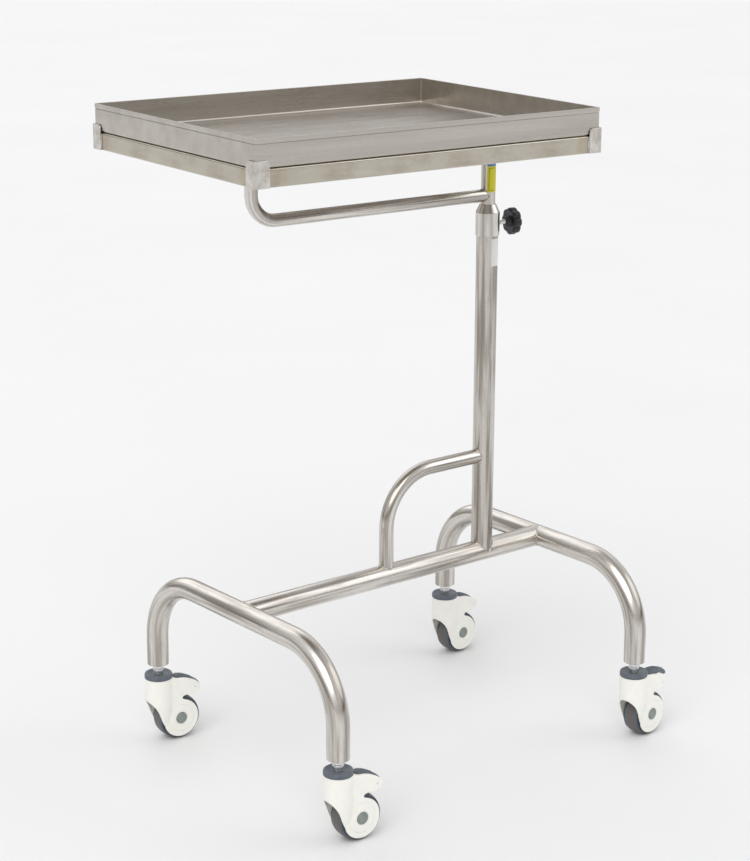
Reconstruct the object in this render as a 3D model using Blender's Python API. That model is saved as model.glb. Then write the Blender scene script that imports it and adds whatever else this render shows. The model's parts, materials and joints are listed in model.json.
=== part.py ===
"""Instrument cart of welded stainless tube: a two-legged base on four braked casters, a column with a
clamped sliding post, and a removable rectangular tray on a rail frame that swivels about the post.

Metres, +Z up. X runs along the base beam, from the tray's free end (-X) to the column's end (+X).
The origin is on the floor, at the middle of the overall box.
"""

import math

import bmesh
import bpy
from mathutils import Matrix, Vector

# Overall placing
BASE_X = 0.0123  # middle of the base, from the origin
BASE_Y = -0.0004
BASE_Z = 0.002  # the floor lies this far below the zero of every height further down
GAP = 0.0003  # between pieces that touch

# Base: two U-shaped legs joined by a beam
TUBE_R = 0.019
TUBE_WALL = 0.0012
LEG_SPACING = 0.668
LEG_SPREAD = 0.518
LEG_BEND_R = 0.118
LEG_FOOT_Z = 0.1435
BEAM_Z = 0.313

# Column, brace and collar
COLUMN_X = 0.196  # from the middle of the base
COLUMN_TOP_Z = 0.925
BRACE_R = 0.0125
BRACE_Z = 0.4925
BRACE_FOOT_X = -0.0265
BRACE_BEND_R = 0.096
COLLAR_R = 0.021
COLLAR_NECK_R = 0.014
COLLAR_BOTTOM_Z = 0.890
COLLAR_SHOULDER_Z = 0.9305
COLLAR_TOP_Z = 0.945

# Sliding post and the arm that carries the tray's free end
POST_R = 0.0127
POST_WALL = 0.0015
POST_BOTTOM_Z = 0.4150
ARM_R = 0.011
ARM_Z = 0.960
ARM_BEND_R = 0.045
ARM_REACH = 0.483

# Tray and its frame, turned about the column as in use
TRAY_TURN = math.radians(-3.36)
TRAY_LENGTH = 0.666
TRAY_WIDTH = 0.489
TRAY_CENTRE = -0.2964  # from the column's axis, along the tray's length
TRAY_SHEET = 0.001
TRAY_HEM = 0.0015
TRAY_HEM_H = 0.008
TRAY_FILLET = 0.004
TRAY_RIM_Z = 1.1352
FRAME_BOTTOM_Z = 1.0613
FRAME_TOP_Z = 1.0899
RAIL_WIDTH = 0.020
RAIL_CORNER_R = 0.002
RAIL_WALL = 0.0012
CLIP_FLANGE = 0.027
CLIP_SHEET = 0.0025
CLIP_TOP_Z = 1.1025
CLIP_CORNER_R = 0.007

# Clamp on the collar
CLAMP_TURN = math.radians(-10.0)
CLAMP_Z = 0.9105
SCREW_R = 0.004
KNOB_R = 0.0235
KNOB_LOBE = 0.0022
KNOB_LOBES = 8
KNOB_NEAR = 0.043  # start of the knob's head, from the column's axis
KNOB_THICK = 0.015
KNOB_HUB_R = 0.009
KNOB_HUB_LONG = 0.008
SCREW_IN_KNOB = 0.011
PAD_THICK = 0.0025

# Guide bush at the post's foot, inside the column
BUSH_FLOOR = 0.004
BUSH_H = 0.030
BUSH_PLAY = 0.0005

# Casters, in a frame of their own: x trails from the swivel axis
CASTERS = {
    "back_left": (-1, 1, -4.4, 0.0),
    "front_left": (-1, -1, -3.1, 0.0),
    "back_right": (1, 1, 4.65, 0.0),
    "front_right": (1, -1, 7.45, 18.0),
}  # name: side along X, side along Y, swivel in degrees, pedal raised in degrees
WHEEL_R = 0.040
WHEEL_TRAIL = 0.034
AXLE_Z = WHEEL_R - BASE_Z
TYRE_HALF = 0.0145
TYRE_FLAT_HALF = 0.0105
HUB_R = 0.0105
WEB_HALF = 0.007
RIM_R = 0.0265
AXLE_R = 0.004
CHEEK_OUT = 0.0195
CHEEK_IN = 0.0162
CAVITY_TOP_Z = 0.0795
CAP_R = 0.0104
CAP_OUT = 0.0217
BODY_R = 0.0245
BODY_TOP_Z = 0.117
BODY_FOOT_Z = 0.0735
RING_BORE_R = 0.0135
RING_EDGE = 0.0022
RING_TOP_Z = 0.1255
STEM_R = 0.006
STEM_BOTTOM_Z = 0.098
STEM_IN_LEG = 0.024
FLANGE_R = 0.011
FLANGE_H = 0.002
FLANGE_CONE_H = 0.0015
NUT_R = 0.0085
NUT_LOW_Z = 0.1268
SOCKET_LIP = 0.0005
SOCKET_H = 0.022
PEDAL_HALF = 0.010
PEDAL_PIVOT = (0.032, 0.110)
PIN_PLACE = (0.0635, 0.091)
PIN_R = 0.002
TRUNNION_R = 0.0017
TRUNNION_HALF = 0.0138
FORK_X = 0.0266
FORK_LOW_Z = 0.070

# Facets
TUBE_SIDES = 16
THIN_SIDES = 12
PIN_SIDES = 10
COPE_HALF = 0.05  # half of the length of the bars that shape tube ends
BEND_STEPS = 5
WHEEL_SIDES = 26  # leaves a flat facet at the bottom


def clear_scene():
    for old in list(bpy.data.objects):
        bpy.data.objects.remove(old, do_unlink=True)


def material(name, colour, roughness, metallic):
    made = bpy.data.materials.new(name)
    made.use_nodes = True
    shader = made.node_tree.nodes["Principled BSDF"]
    shader.inputs["Base Color"].default_value = (*colour, 1.0)
    shader.inputs["Roughness"].default_value = roughness
    shader.inputs["Metallic"].default_value = metallic
    return made


def add(name, mesh, look, parent=None, place=(0, 0, 0)):
    """A named object under a parent, with a material and smooth round faces."""
    mesh.materials.clear()
    mesh.materials.append(look)
    mesh.shade_smooth()
    mesh.set_sharp_from_angle(angle=math.radians(35))
    made = bpy.data.objects.new(name, mesh)
    bpy.context.scene.collection.objects.link(made)
    made.parent = parent
    made.location = place
    return made


def empty(name, place, turn=0.0, parent=None, axis="Z"):
    made = bpy.data.objects.new(name, None)
    bpy.context.scene.collection.objects.link(made)
    made.parent = parent
    made.location = place
    made.rotation_euler = (Matrix.Rotation(turn, 3, axis)).to_euler()
    return made


def mesh_of(name, bm):
    bmesh.ops.remove_doubles(bm, verts=bm.verts, dist=1e-6)
    bmesh.ops.recalc_face_normals(bm, faces=bm.faces)
    mesh = bpy.data.meshes.new(name)
    bm.to_mesh(mesh)
    bm.free()
    return mesh


def turned(name, outline, sides, axis="Z"):
    """A solid of revolution: a closed outline of (radius, height) points spun about an axis."""
    bm = bmesh.new()
    verts = [bm.verts.new((r, 0, h)) for r, h in outline]
    edges = [bm.edges.new((verts[i], verts[(i + 1) % len(verts)])) for i in range(len(verts))]
    bmesh.ops.spin(
        bm, geom=verts + edges, cent=(0, 0, 0), axis=(0, 0, 1), angle=2 * math.pi, steps=sides
    )
    bmesh.ops.remove_doubles(bm, verts=bm.verts, dist=1e-6)
    loose = [e for e in bm.edges if not e.link_faces]
    bmesh.ops.delete(bm, geom=loose, context="EDGES")
    if axis == "X":
        bmesh.ops.transform(bm, matrix=Matrix.Rotation(math.pi / 2, 4, "Y"), verts=bm.verts)
    if axis == "Y":
        bmesh.ops.transform(bm, matrix=Matrix.Rotation(-math.pi / 2, 4, "X"), verts=bm.verts)
    return mesh_of(name, bm)


def extruded(name, outline, low, high, axis="Z", bevel=0.0):
    """A closed outline of 2-D points given a depth from low to high. Along Y the outline is (x, z)."""
    bm = bmesh.new()
    verts = [bm.verts.new((x, y, low)) for x, y in outline]
    face = bm.faces.new(verts)
    grown = bmesh.ops.extrude_face_region(bm, geom=[face])
    top = [v for v in grown["geom"] if isinstance(v, bmesh.types.BMVert)]
    bmesh.ops.translate(bm, vec=(0, 0, high - low), verts=top)
    if bevel:
        rims = [e for e in bm.edges if abs(e.verts[0].co.z - e.verts[1].co.z) < 1e-9]
        bmesh.ops.bevel(bm, geom=rims, offset=bevel, segments=1, affect="EDGES")
    if axis == "X":
        cycle = Matrix(((0, 0, 1, 0), (1, 0, 0, 0), (0, 1, 0, 0), (0, 0, 0, 1)))
        bmesh.ops.transform(bm, matrix=cycle, verts=bm.verts)
    if axis == "Y":
        bmesh.ops.transform(bm, matrix=Matrix.Rotation(math.pi / 2, 4, "X"), verts=bm.verts)
    return mesh_of(name, bm)


def arc(centre, radius, start, end, steps):
    """Points (a, b) along an arc, angles in degrees."""
    return [
        (
            centre[0] + radius * math.cos(math.radians(start + (end - start) * i / steps)),
            centre[1] + radius * math.sin(math.radians(start + (end - start) * i / steps)),
        )
        for i in range(steps + 1)
    ]


def swept(name, path, radius, sides):
    """The open skin of a tube along a path of points."""
    curve = bpy.data.curves.new(name, "CURVE")
    curve.dimensions = "3D"
    curve.bevel_depth = radius
    curve.bevel_resolution = (sides - 4) // 2
    spline = curve.splines.new("POLY")
    spline.points.add(len(path) - 1)
    for point, place in zip(spline.points, path):
        point.co = (*place, 1.0)
    guide = bpy.data.objects.new(name, curve)
    bpy.context.scene.collection.objects.link(guide)
    bpy.context.view_layer.update()
    mesh = bpy.data.meshes.new_from_object(guide.evaluated_get(bpy.context.evaluated_depsgraph_get()))
    bpy.data.objects.remove(guide)
    bm = bmesh.new()
    bm.from_mesh(mesh)
    return mesh_of(name, bm)


def hollow(obj, wall):
    """Gives a skin its wall, inwards."""
    skin = obj.modifiers.new("wall", "SOLIDIFY")
    skin.thickness = wall
    skin.offset = -1
    skin.use_even_offset = True
    return obj


def cutter(name, mesh, place=(0, 0, 0), parent=None):
    made = bpy.data.objects.new(name, mesh)
    bpy.context.scene.collection.objects.link(made)
    made.parent = parent
    made.location = place
    made.hide_render = True
    made.display_type = "WIRE"
    return made


def combine(obj, other, operation="DIFFERENCE"):
    cut = obj.modifiers.new(other.name, "BOOLEAN")
    cut.operation = operation
    cut.object = other
    cut.solver = "EXACT"


def rod(radius, low, high):
    """The outline of a plain round bar, for turned()."""
    return [(0, low), (radius, low), (radius, high), (0, high)]


def cope_cutter(name, radius, axis, place, parent):
    """A bar that shapes a tube's end to sit on another tube."""
    bar = turned(name, rod(radius + GAP, -COPE_HALF, COPE_HALF), 2 * TUBE_SIDES, axis)
    return cutter(name, bar, place, parent)


def make_legs(steel, base):
    half = LEG_SPREAD / 2
    bend = arc((half - LEG_BEND_R, BEAM_Z - LEG_BEND_R), LEG_BEND_R, 0, 90, BEND_STEPS)
    side = [(half, LEG_FOOT_Z)] + bend
    path = [(0, y, z) for y, z in side] + [(0, -y, z) for y, z in reversed(side)]
    mesh = swept("leg", path, TUBE_R, TUBE_SIDES)
    for name, sign in (("leg_left", -1), ("leg_right", 1)):
        leg = add(name, mesh.copy(), steel, base, (sign * LEG_SPACING / 2, 0, 0))
        hollow(leg, TUBE_WALL)


def make_beam(steel, base):
    half = LEG_SPACING / 2
    mesh = swept("base_beam", [(-half, 0, BEAM_Z), (half, 0, BEAM_Z)], TUBE_R, TUBE_SIDES)
    beam = hollow(add("base_beam", mesh, steel, base), TUBE_WALL)
    for name, sign in (("beam_cope_left", -1), ("beam_cope_right", 1)):
        combine(beam, cope_cutter(name, TUBE_R, "Y", (sign * half, 0, BEAM_Z), base))


def make_column(steel, base, screw_hole):
    path = [(COLUMN_X, 0, BEAM_Z), (COLUMN_X, 0, COLUMN_TOP_Z)]
    column = add("column", swept("column", path, TUBE_R, TUBE_SIDES), steel, base)
    hollow(column, TUBE_WALL)
    combine(column, cope_cutter("column_cope", TUBE_R, "X", (COLUMN_X, 0, BEAM_Z), base))
    combine(column, screw_hole)


def make_brace(steel, base):
    corner = (BRACE_FOOT_X + BRACE_BEND_R, BRACE_Z - BRACE_BEND_R)
    side = [(COLUMN_X, BRACE_Z)] + arc(corner, BRACE_BEND_R, 90, 180, BEND_STEPS + 1)
    path = [(x, 0, z) for x, z in side] + [(BRACE_FOOT_X, 0, BEAM_Z)]
    brace = add("brace", swept("brace", path, BRACE_R, THIN_SIDES), steel, base)
    hollow(brace, TUBE_WALL)
    combine(brace, cope_cutter("brace_cope_top", TUBE_R, "Z", (COLUMN_X, 0, BRACE_Z), base))
    combine(brace, cope_cutter("brace_cope_foot", TUBE_R, "X", (BRACE_FOOT_X, 0, BEAM_Z), base))


def make_collar(steel, mast, screw_hole):
    bore = POST_R + GAP
    seat = TUBE_R + GAP
    outline = [
        (seat, COLLAR_BOTTOM_Z),
        (COLLAR_R, COLLAR_BOTTOM_Z),
        (COLLAR_R, COLLAR_SHOULDER_Z),
        (COLLAR_NECK_R, COLLAR_TOP_Z),
        (bore, COLLAR_TOP_Z),
        (bore, COLUMN_TOP_Z + GAP),
        (seat, COLUMN_TOP_Z + GAP),
    ]
    collar = add("collar", turned("collar", outline, 2 * THIN_SIDES), steel, mast)
    combine(collar, screw_hole)


def knob_outline():
    steps = 4 * KNOB_LOBES
    mean = KNOB_R - KNOB_LOBE
    points = []
    for i in range(steps):
        angle = 2 * math.pi * i / steps
        radius = mean + KNOB_LOBE * math.cos(KNOB_LOBES * angle)
        points.append((radius * math.cos(angle), radius * math.sin(angle)))
    return points


def make_clamp(zinc, black, brass, clamp):
    pad_near = POST_R + GAP
    pad_far = pad_near + PAD_THICK
    pad = turned("clamp_pad", rod(SCREW_R - 0.0004, pad_near, pad_far), THIN_SIDES, "X")
    add("clamp_pad", pad, brass, clamp)
    screw_end = KNOB_NEAR + SCREW_IN_KNOB
    screw = turned("clamp_screw", rod(SCREW_R, pad_far + GAP, screw_end), THIN_SIDES, "X")
    add("clamp_screw", screw, zinc, clamp)
    head = extruded("clamp_knob", knob_outline(), KNOB_NEAR, KNOB_NEAR + KNOB_THICK, "X", 0.002)
    knob = add("clamp_knob", head, black, clamp)
    hub_outline = rod(KNOB_HUB_R, KNOB_NEAR - KNOB_HUB_LONG, KNOB_NEAR + KNOB_HUB_LONG / 2)
    hub = turned("knob_hub", hub_outline, 2 * THIN_SIDES, "X")
    combine(knob, cutter("knob_hub", hub, parent=clamp), "UNION")
    hole_outline = rod(SCREW_R + GAP, KNOB_NEAR - 2 * KNOB_HUB_LONG, screw_end + GAP)
    hole = turned("knob_hole", hole_outline, THIN_SIDES, "X")
    combine(knob, cutter("knob_hole", hole, parent=clamp))


def make_post(steel, nylon, tray_axis, mast):
    top = FRAME_BOTTOM_Z - GAP
    path = [(0, 0, POST_BOTTOM_Z), (0, 0, top)]
    post = add("inner_post", swept("inner_post", path, POST_R, THIN_SIDES), steel, tray_axis)
    hollow(post, POST_WALL)
    outer = TUBE_R - TUBE_WALL - BUSH_PLAY
    floor = POST_BOTTOM_Z - GAP
    outline = [
        (0, floor - BUSH_FLOOR),
        (outer, floor - BUSH_FLOOR),
        (outer, floor + BUSH_H),
        (POST_R + GAP, floor + BUSH_H),
        (POST_R + GAP, floor),
        (0, floor),
    ]
    add("post_foot_bush", turned("post_foot_bush", outline, 2 * THIN_SIDES), nylon, mast)


def make_arm(steel, tray_axis):
    corner = (-ARM_REACH + ARM_BEND_R, ARM_Z + ARM_BEND_R)
    side = [(0, ARM_Z)] + arc(corner, ARM_BEND_R, 270, 180, BEND_STEPS)
    path = [(a, 0, z) for a, z in side] + [(-ARM_REACH, 0, FRAME_BOTTOM_Z - GAP)]
    arm = add("support_arm", swept("support_arm", path, ARM_R, THIN_SIDES), steel, tray_axis)
    hollow(arm, TUBE_WALL)
    combine(arm, cope_cutter("arm_cope", POST_R, "Z", (0, 0, ARM_Z), tray_axis))


def rail_section():
    """A rectangle with rounded corners, across a rail: (sideways, up)."""
    half_w = RAIL_WIDTH / 2 - RAIL_CORNER_R
    half_h = (FRAME_TOP_Z - FRAME_BOTTOM_Z) / 2 - RAIL_CORNER_R
    centres = ((half_w, half_h), (-half_w, half_h), (-half_w, -half_h), (half_w, -half_h))
    points = []
    for i, centre in enumerate(centres):
        points += arc(centre, RAIL_CORNER_R, 90 * i, 90 * i + 90, 2)
    return points


def bar_skin(name, length, along):
    """The open skin of a rectangular tube, centred, along X or Y."""
    bm = bmesh.new()
    section = rail_section()
    rings = []
    for end in (-length / 2, length / 2):
        rings.append([bm.verts.new((s, end, h) if along == "Y" else (end, s, h)) for s, h in section])
    for i in range(len(section)):
        j = (i + 1) % len(section)
        bm.faces.new((rings[0][i], rings[0][j], rings[1][j], rings[1][i]))
    mesh = mesh_of(name, bm)
    centre = Vector((0, 0, 0))
    if sum((face.center - centre).dot(face.normal) for face in mesh.polygons) < 0:
        mesh.flip_normals()
    return mesh


def make_frame(steel, tray_axis):
    middle = (FRAME_TOP_Z + FRAME_BOTTOM_Z) / 2
    across = TRAY_WIDTH / 2 - RAIL_WIDTH / 2
    along = TRAY_LENGTH / 2 - RAIL_WIDTH / 2
    short = TRAY_WIDTH - 2 * RAIL_WIDTH - 2 * GAP
    bars = (
        ("tray_rail_front", "X", TRAY_LENGTH, TRAY_CENTRE, -across),
        ("tray_rail_back", "X", TRAY_LENGTH, TRAY_CENTRE, across),
        ("tray_rail_left", "Y", short, TRAY_CENTRE - along, 0),
        ("tray_rail_right", "Y", short, TRAY_CENTRE + along - GAP, 0),
        ("arm_cross_bar", "Y", short, -ARM_REACH, 0),
        ("post_cross_bar", "Y", short, 0, 0),
    )
    for name, direction, length, x, y in bars:
        bar = add(name, bar_skin(name, length, direction), steel, tray_axis, (x, y, middle))
        hollow(bar, RAIL_WALL)


def clip_mesh(name):
    """A corner plate folded at a right angle about a vertical line, both free top corners rounded."""
    height = CLIP_TOP_Z - FRAME_BOTTOM_Z
    corner = (CLIP_FLANGE - CLIP_CORNER_R, height - CLIP_CORNER_R)
    flange = [(CLIP_FLANGE, 0)] + arc(corner, CLIP_CORNER_R, 0, 90, 4)
    bm = bmesh.new()
    fold = [bm.verts.new((0, 0, height)), bm.verts.new((0, 0, 0))]
    bm.faces.new(fold + [bm.verts.new((s, 0, z)) for s, z in flange])
    bm.faces.new(fold + [bm.verts.new((0, s, z)) for s, z in flange])
    mesh = mesh_of(name, bm)
    if mesh.polygons[0].normal.y > 0:
        mesh.flip_normals()
    return mesh


def make_clips(steel, tray_axis):
    out = CLIP_SHEET + GAP
    mesh = clip_mesh("corner_clip")
    corners = (
        ("corner_clip_front_left", -1, -1, 0),
        ("corner_clip_front_right", 1, -1, 90),
        ("corner_clip_back_right", 1, 1, 180),
        ("corner_clip_back_left", -1, 1, 270),
    )
    for name, side_x, side_y, turn in corners:
        x = TRAY_CENTRE + side_x * (TRAY_LENGTH / 2 + out)
        y = side_y * (TRAY_WIDTH / 2 + out)
        clip = add(name, mesh.copy(), steel, tray_axis, (x, y, FRAME_BOTTOM_Z))
        clip.rotation_euler = (0, 0, math.radians(turn))
        hollow(clip, CLIP_SHEET)


def tray_profile():
    """The tray's section as (inset from the rim's outside, height), from below to the inside floor."""
    wall_out = TRAY_HEM
    wall_in = TRAY_HEM + TRAY_SHEET
    floor = FRAME_TOP_Z + GAP
    inside = floor + TRAY_SHEET
    fillet = arc((wall_in + TRAY_FILLET, inside + TRAY_FILLET), TRAY_FILLET, 180, 270, 3)
    under = arc((wall_out + TRAY_FILLET, floor + TRAY_FILLET), TRAY_FILLET, 270, 180, 3)
    rim = [
        (wall_out, TRAY_RIM_Z - TRAY_HEM_H),
        (0, TRAY_RIM_Z - TRAY_HEM_H),
        (0, TRAY_RIM_Z),
        (wall_in, TRAY_RIM_Z),
    ]
    return under + rim + fillet


def make_tray(steel, tray_axis):
    bm = bmesh.new()
    loops = []
    for inset, z in tray_profile():
        half_x = TRAY_LENGTH / 2 - inset
        half_y = TRAY_WIDTH / 2 - inset
        corners = ((-half_x, -half_y), (half_x, -half_y), (half_x, half_y), (-half_x, half_y))
        loops.append([bm.verts.new((x, y, z)) for x, y in corners])
    for lower, upper in zip(loops, loops[1:]):
        for i in range(4):
            j = (i + 1) % 4
            bm.faces.new((lower[i], lower[j], upper[j], upper[i]))
    bm.faces.new(reversed(loops[0]))
    bm.faces.new(loops[-1])
    add("tray", mesh_of("tray", bm), steel, tray_axis, (TRAY_CENTRE, 0, 0))


def yoke_outline():
    """The caster housing from the side, (trail, height): front, top, horn, hooked slot, wheel cover."""
    front = [(0.0, 0.034), (-0.0022, 0.047), (-0.0075, 0.0590), (-0.0155, 0.0690), (-0.0205, 0.0740)]
    top = [(-0.0205, 0.100), (0.010, BODY_TOP_Z), (0.0215, 0.1158), (0.029, 0.1125), (0.040, 0.111)]
    horn = [(0.051, 0.1080), (0.062, 0.1035), (0.0715, 0.0975), (0.0740, 0.0925), (0.0725, 0.0860)]
    slot = [(0.068, 0.0805), (0.060, 0.0782), (0.054, 0.0777), (0.046, 0.0790), (0.041, 0.0782)]
    slot_end = [(0.0370, 0.0755), (0.0385, 0.0727)]
    cover = arc((WHEEL_TRAIL, 0.037), 0.034, 72, -158, 14)
    return front + top + horn + slot + slot_end + cover


def cross_bore(name, radius, half, place, sides=PIN_SIDES):
    """A hole through a caster's housing from side to side, as (cutter mesh, place)."""
    return name, turned(name, rod(radius + GAP, -half, half), sides, "Y"), (place[0], 0, place[1])


def make_yoke(name, white, swivel):
    mesh = extruded(name, yoke_outline(), -CHEEK_OUT, CHEEK_OUT, "Y", 0.0012)
    yoke = add(name, mesh, white, swivel)
    body = turned("body", rod(BODY_R, BODY_FOOT_Z, BODY_TOP_Z), 2 * THIN_SIDES)
    combine(yoke, cutter(name + "_body", body, parent=swivel), "UNION")
    far = 0.10
    wheel_slot = [(-far, -0.01), (far, -0.01), (far, CAVITY_TOP_Z), (-far, CAVITY_TOP_Z)]
    slot = extruded("slot", wheel_slot, -CHEEK_IN, CHEEK_IN, "Y")
    combine(yoke, cutter(name + "_wheel_slot", slot, parent=swivel))
    fork_half = PEDAL_HALF + 0.0005
    pedal_slot = [(FORK_X, FORK_LOW_Z), (far, FORK_LOW_Z), (far, 0.15), (FORK_X, 0.15)]
    fork = extruded("fork", pedal_slot, -fork_half, fork_half, "Y")
    combine(yoke, cutter(name + "_pedal_slot", fork, parent=swivel))
    stem = turned("stem", rod(STEM_R + GAP, STEM_BOTTOM_Z - 0.001, 0.13), THIN_SIDES)
    bores = (
        ("stem", stem, (0, 0, 0)),
        cross_bore("axle", AXLE_R, 0.03, (WHEEL_TRAIL, AXLE_Z), THIN_SIDES),
        cross_bore("pin", PIN_R, 0.03, PIN_PLACE),
        cross_bore("pivot", TRUNNION_R, TRUNNION_HALF + 0.0007, PEDAL_PIVOT),
    )
    for kind, mesh, place in bores:
        combine(yoke, cutter(name + "_" + kind, mesh, place, swivel))


def pedal_outline():
    """The pedal pressed down, (trail, height) from its pivot: nose, back, hooked tail, brake shoe."""
    nose = [(0.0280, 0.1100), (0.0283, 0.1150), (0.0300, 0.1178)]
    back = [(0.0380, 0.1178), (0.0460, 0.1158), (0.0530, 0.1126), (0.0600, 0.1087), (0.0670, 0.1043)]
    tail = [(0.0740, 0.0994), (0.0805, 0.0938), (0.0845, 0.0890), (0.0855, 0.0850), (0.0835, 0.0815)]
    hook = [(0.0800, 0.0792), (0.0765, 0.0785), (0.0735, 0.0815), (0.0705, 0.0870), (0.0680, 0.0925)]
    under = [(0.0650, 0.0950), (0.0540, 0.0985)]
    shoe = [(0.0510, 0.0762), (0.0430, 0.0782), (0.0430, 0.1010), (0.0300, 0.1050)]
    points = nose + back + tail + hook + under + shoe
    return [(x - PEDAL_PIVOT[0], z - PEDAL_PIVOT[1]) for x, z in points]


def make_pedal(name, grey, pivot):
    mesh = extruded(name, pedal_outline(), -PEDAL_HALF, PEDAL_HALF, "Y", 0.001)
    pedal = add(name, mesh, grey, pivot)
    ends = turned("trunnion", rod(TRUNNION_R, -TRUNNION_HALF, TRUNNION_HALF), PIN_SIDES, "Y")
    combine(pedal, cutter(name + "_trunnion", ends, parent=pivot), "UNION")


def wheel_outline():
    half = [(AXLE_R + GAP, -TYRE_HALF), (HUB_R, -TYRE_HALF), (HUB_R, -WEB_HALF), (RIM_R, -WEB_HALF)]
    return half + [(r, -h) for r, h in reversed(half)]


def tyre_outline():
    flat_r = WHEEL_R / math.cos(math.pi / WHEEL_SIDES)
    half = [(RIM_R + GAP, TYRE_HALF - 0.001), (0.0372, TYRE_HALF), (flat_r, TYRE_FLAT_HALF)]
    return half + [(r, -h) for r, h in reversed(half)]


def axle_outline():
    """The axle with a flat cap at each end, which sits just off the wheel covers."""
    under = CHEEK_OUT + GAP
    half = [(0, -CAP_OUT), (CAP_R, -CAP_OUT), (CAP_R, -under), (AXLE_R, -under)]
    return half + [(r, -h) for r, h in reversed(half)]


def ring_outline():
    low = BODY_TOP_Z + GAP
    return [
        (RING_BORE_R, low),
        (BODY_R, low),
        (BODY_R, RING_TOP_Z - RING_EDGE),
        (BODY_R - RING_EDGE, RING_TOP_Z),
        (RING_BORE_R, RING_TOP_Z),
    ]


def make_stem(name, zinc, foot):
    """The threaded stem with its hexagon and the flange that bears on the leg's end."""
    flange_top = LEG_FOOT_Z - GAP
    flange_low = flange_top - FLANGE_H
    outline = [
        (0, STEM_BOTTOM_Z),
        (STEM_R, STEM_BOTTOM_Z),
        (STEM_R, flange_low - FLANGE_CONE_H),
        (FLANGE_R, flange_low),
        (FLANGE_R, flange_top),
        (STEM_R, flange_top),
        (STEM_R, LEG_FOOT_Z + STEM_IN_LEG),
        (0, LEG_FOOT_Z + STEM_IN_LEG),
    ]
    stem = add(name, turned(name, outline, THIN_SIDES), zinc, foot)
    turns = [math.radians(60 * i) for i in range(6)]
    hexagon = [(NUT_R * math.cos(turn), NUT_R * math.sin(turn)) for turn in turns]
    nut = extruded("nut", hexagon, NUT_LOW_Z, flange_top - FLANGE_H / 2)
    combine(stem, cutter(name + "_hexagon", nut, parent=foot), "UNION")


def make_socket(name, zinc, foot):
    """The threaded insert in a leg's end."""
    low = LEG_FOOT_Z + SOCKET_LIP
    high = LEG_FOOT_Z + SOCKET_H
    plug_r = TUBE_R - TUBE_WALL - GAP
    plug = [(STEM_R + GAP, low), (plug_r, low), (plug_r, high), (STEM_R + GAP, high)]
    add(name, turned(name, plug, TUBE_SIDES), zinc, foot)


def make_caster(name, side_x, side_y, swivel_deg, pedal_deg, looks, base):
    foot = empty(name + "_foot", (side_x * LEG_SPACING / 2, side_y * LEG_SPREAD / 2, 0), parent=base)
    make_socket(name + "_socket", looks["zinc"], foot)
    make_stem(name + "_stem", looks["zinc"], foot)
    swivel = empty(name + "_swivel", (0, 0, 0), math.radians(swivel_deg), foot)
    make_yoke(name + "_yoke", looks["white"], swivel)
    ring = turned(name + "_ring", ring_outline(), 2 * THIN_SIDES)
    add(name + "_ring", ring, looks["grey"], swivel)
    pin_half = CHEEK_OUT - 0.0004
    pin = turned(name + "_pin", rod(PIN_R, -pin_half, pin_half), PIN_SIDES, "Y")
    add(name + "_pin", pin, looks["zinc"], swivel, (PIN_PLACE[0], 0, PIN_PLACE[1]))
    rounds = (
        ("_axle", axle_outline(), THIN_SIDES, "grey"),
        ("_wheel", wheel_outline(), WHEEL_SIDES, "rim"),
        ("_tyre", tyre_outline(), WHEEL_SIDES, "tread"),
    )
    for part, outline, sides, look in rounds:
        mesh = turned(name + part, outline, sides, "Y")
        add(name + part, mesh, looks[look], swivel, (WHEEL_TRAIL, 0, AXLE_Z))
    place = (PEDAL_PIVOT[0], 0, PEDAL_PIVOT[1])
    pivot = empty(name + "_pedal_axis", place, -math.radians(pedal_deg), swivel, "Y")
    make_pedal(name + "_pedal", looks["grey"], pivot)


def main():
    clear_scene()
    looks = {
        "steel": material("satin_steel", (0.60, 0.57, 0.53), 0.28, 1.0),
        "sheet": material("brushed_sheet", (0.56, 0.54, 0.51), 0.38, 1.0),
        "rail": material("polished_rail", (0.62, 0.58, 0.51), 0.22, 1.0),
        "zinc": material("zinc", (0.70, 0.70, 0.68), 0.30, 1.0),
        "brass": material("brass", (0.72, 0.56, 0.28), 0.35, 1.0),
        "white": material("white_nylon", (0.86, 0.86, 0.82), 0.40, 0.0),
        "grey": material("grey_plastic", (0.13, 0.15, 0.17), 0.45, 0.0),
        "rim": material("wheel_core", (0.16, 0.17, 0.18), 0.50, 0.0),
        "tread": material("grey_tread", (0.14, 0.15, 0.16), 0.60, 0.0),
        "black": material("black_plastic", (0.02, 0.02, 0.022), 0.45, 0.0),
        "nylon": material("guide_nylon", (0.75, 0.75, 0.72), 0.45, 0.0),
    }
    base = empty("base", (BASE_X, BASE_Y, BASE_Z))
    mast = empty("mast", (COLUMN_X, 0, 0), parent=base)
    tray_axis = empty("tray_axis", (0, 0, 0), TRAY_TURN, mast)
    clamp = empty("clamp", (0, 0, CLAMP_Z), CLAMP_TURN, mast)
    hole = turned("screw_hole", rod(SCREW_R + GAP, POST_R - 0.001, 0.030), THIN_SIDES, "X")
    screw_hole = cutter("screw_hole", hole, parent=clamp)

    make_legs(looks["steel"], base)
    make_beam(looks["steel"], base)
    make_column(looks["steel"], base, screw_hole)
    make_brace(looks["steel"], base)
    make_collar(looks["steel"], mast, screw_hole)
    make_clamp(looks["zinc"], looks["black"], looks["brass"], clamp)
    make_post(looks["steel"], looks["nylon"], tray_axis, mast)
    make_arm(looks["steel"], tray_axis)
    make_frame(looks["rail"], tray_axis)
    make_clips(looks["rail"], tray_axis)
    make_tray(looks["sheet"], tray_axis)
    for name, (side_x, side_y, swivel_deg, pedal_deg) in CASTERS.items():
        make_caster("caster_" + name, side_x, side_y, swivel_deg, pedal_deg, looks, base)


main()
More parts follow.
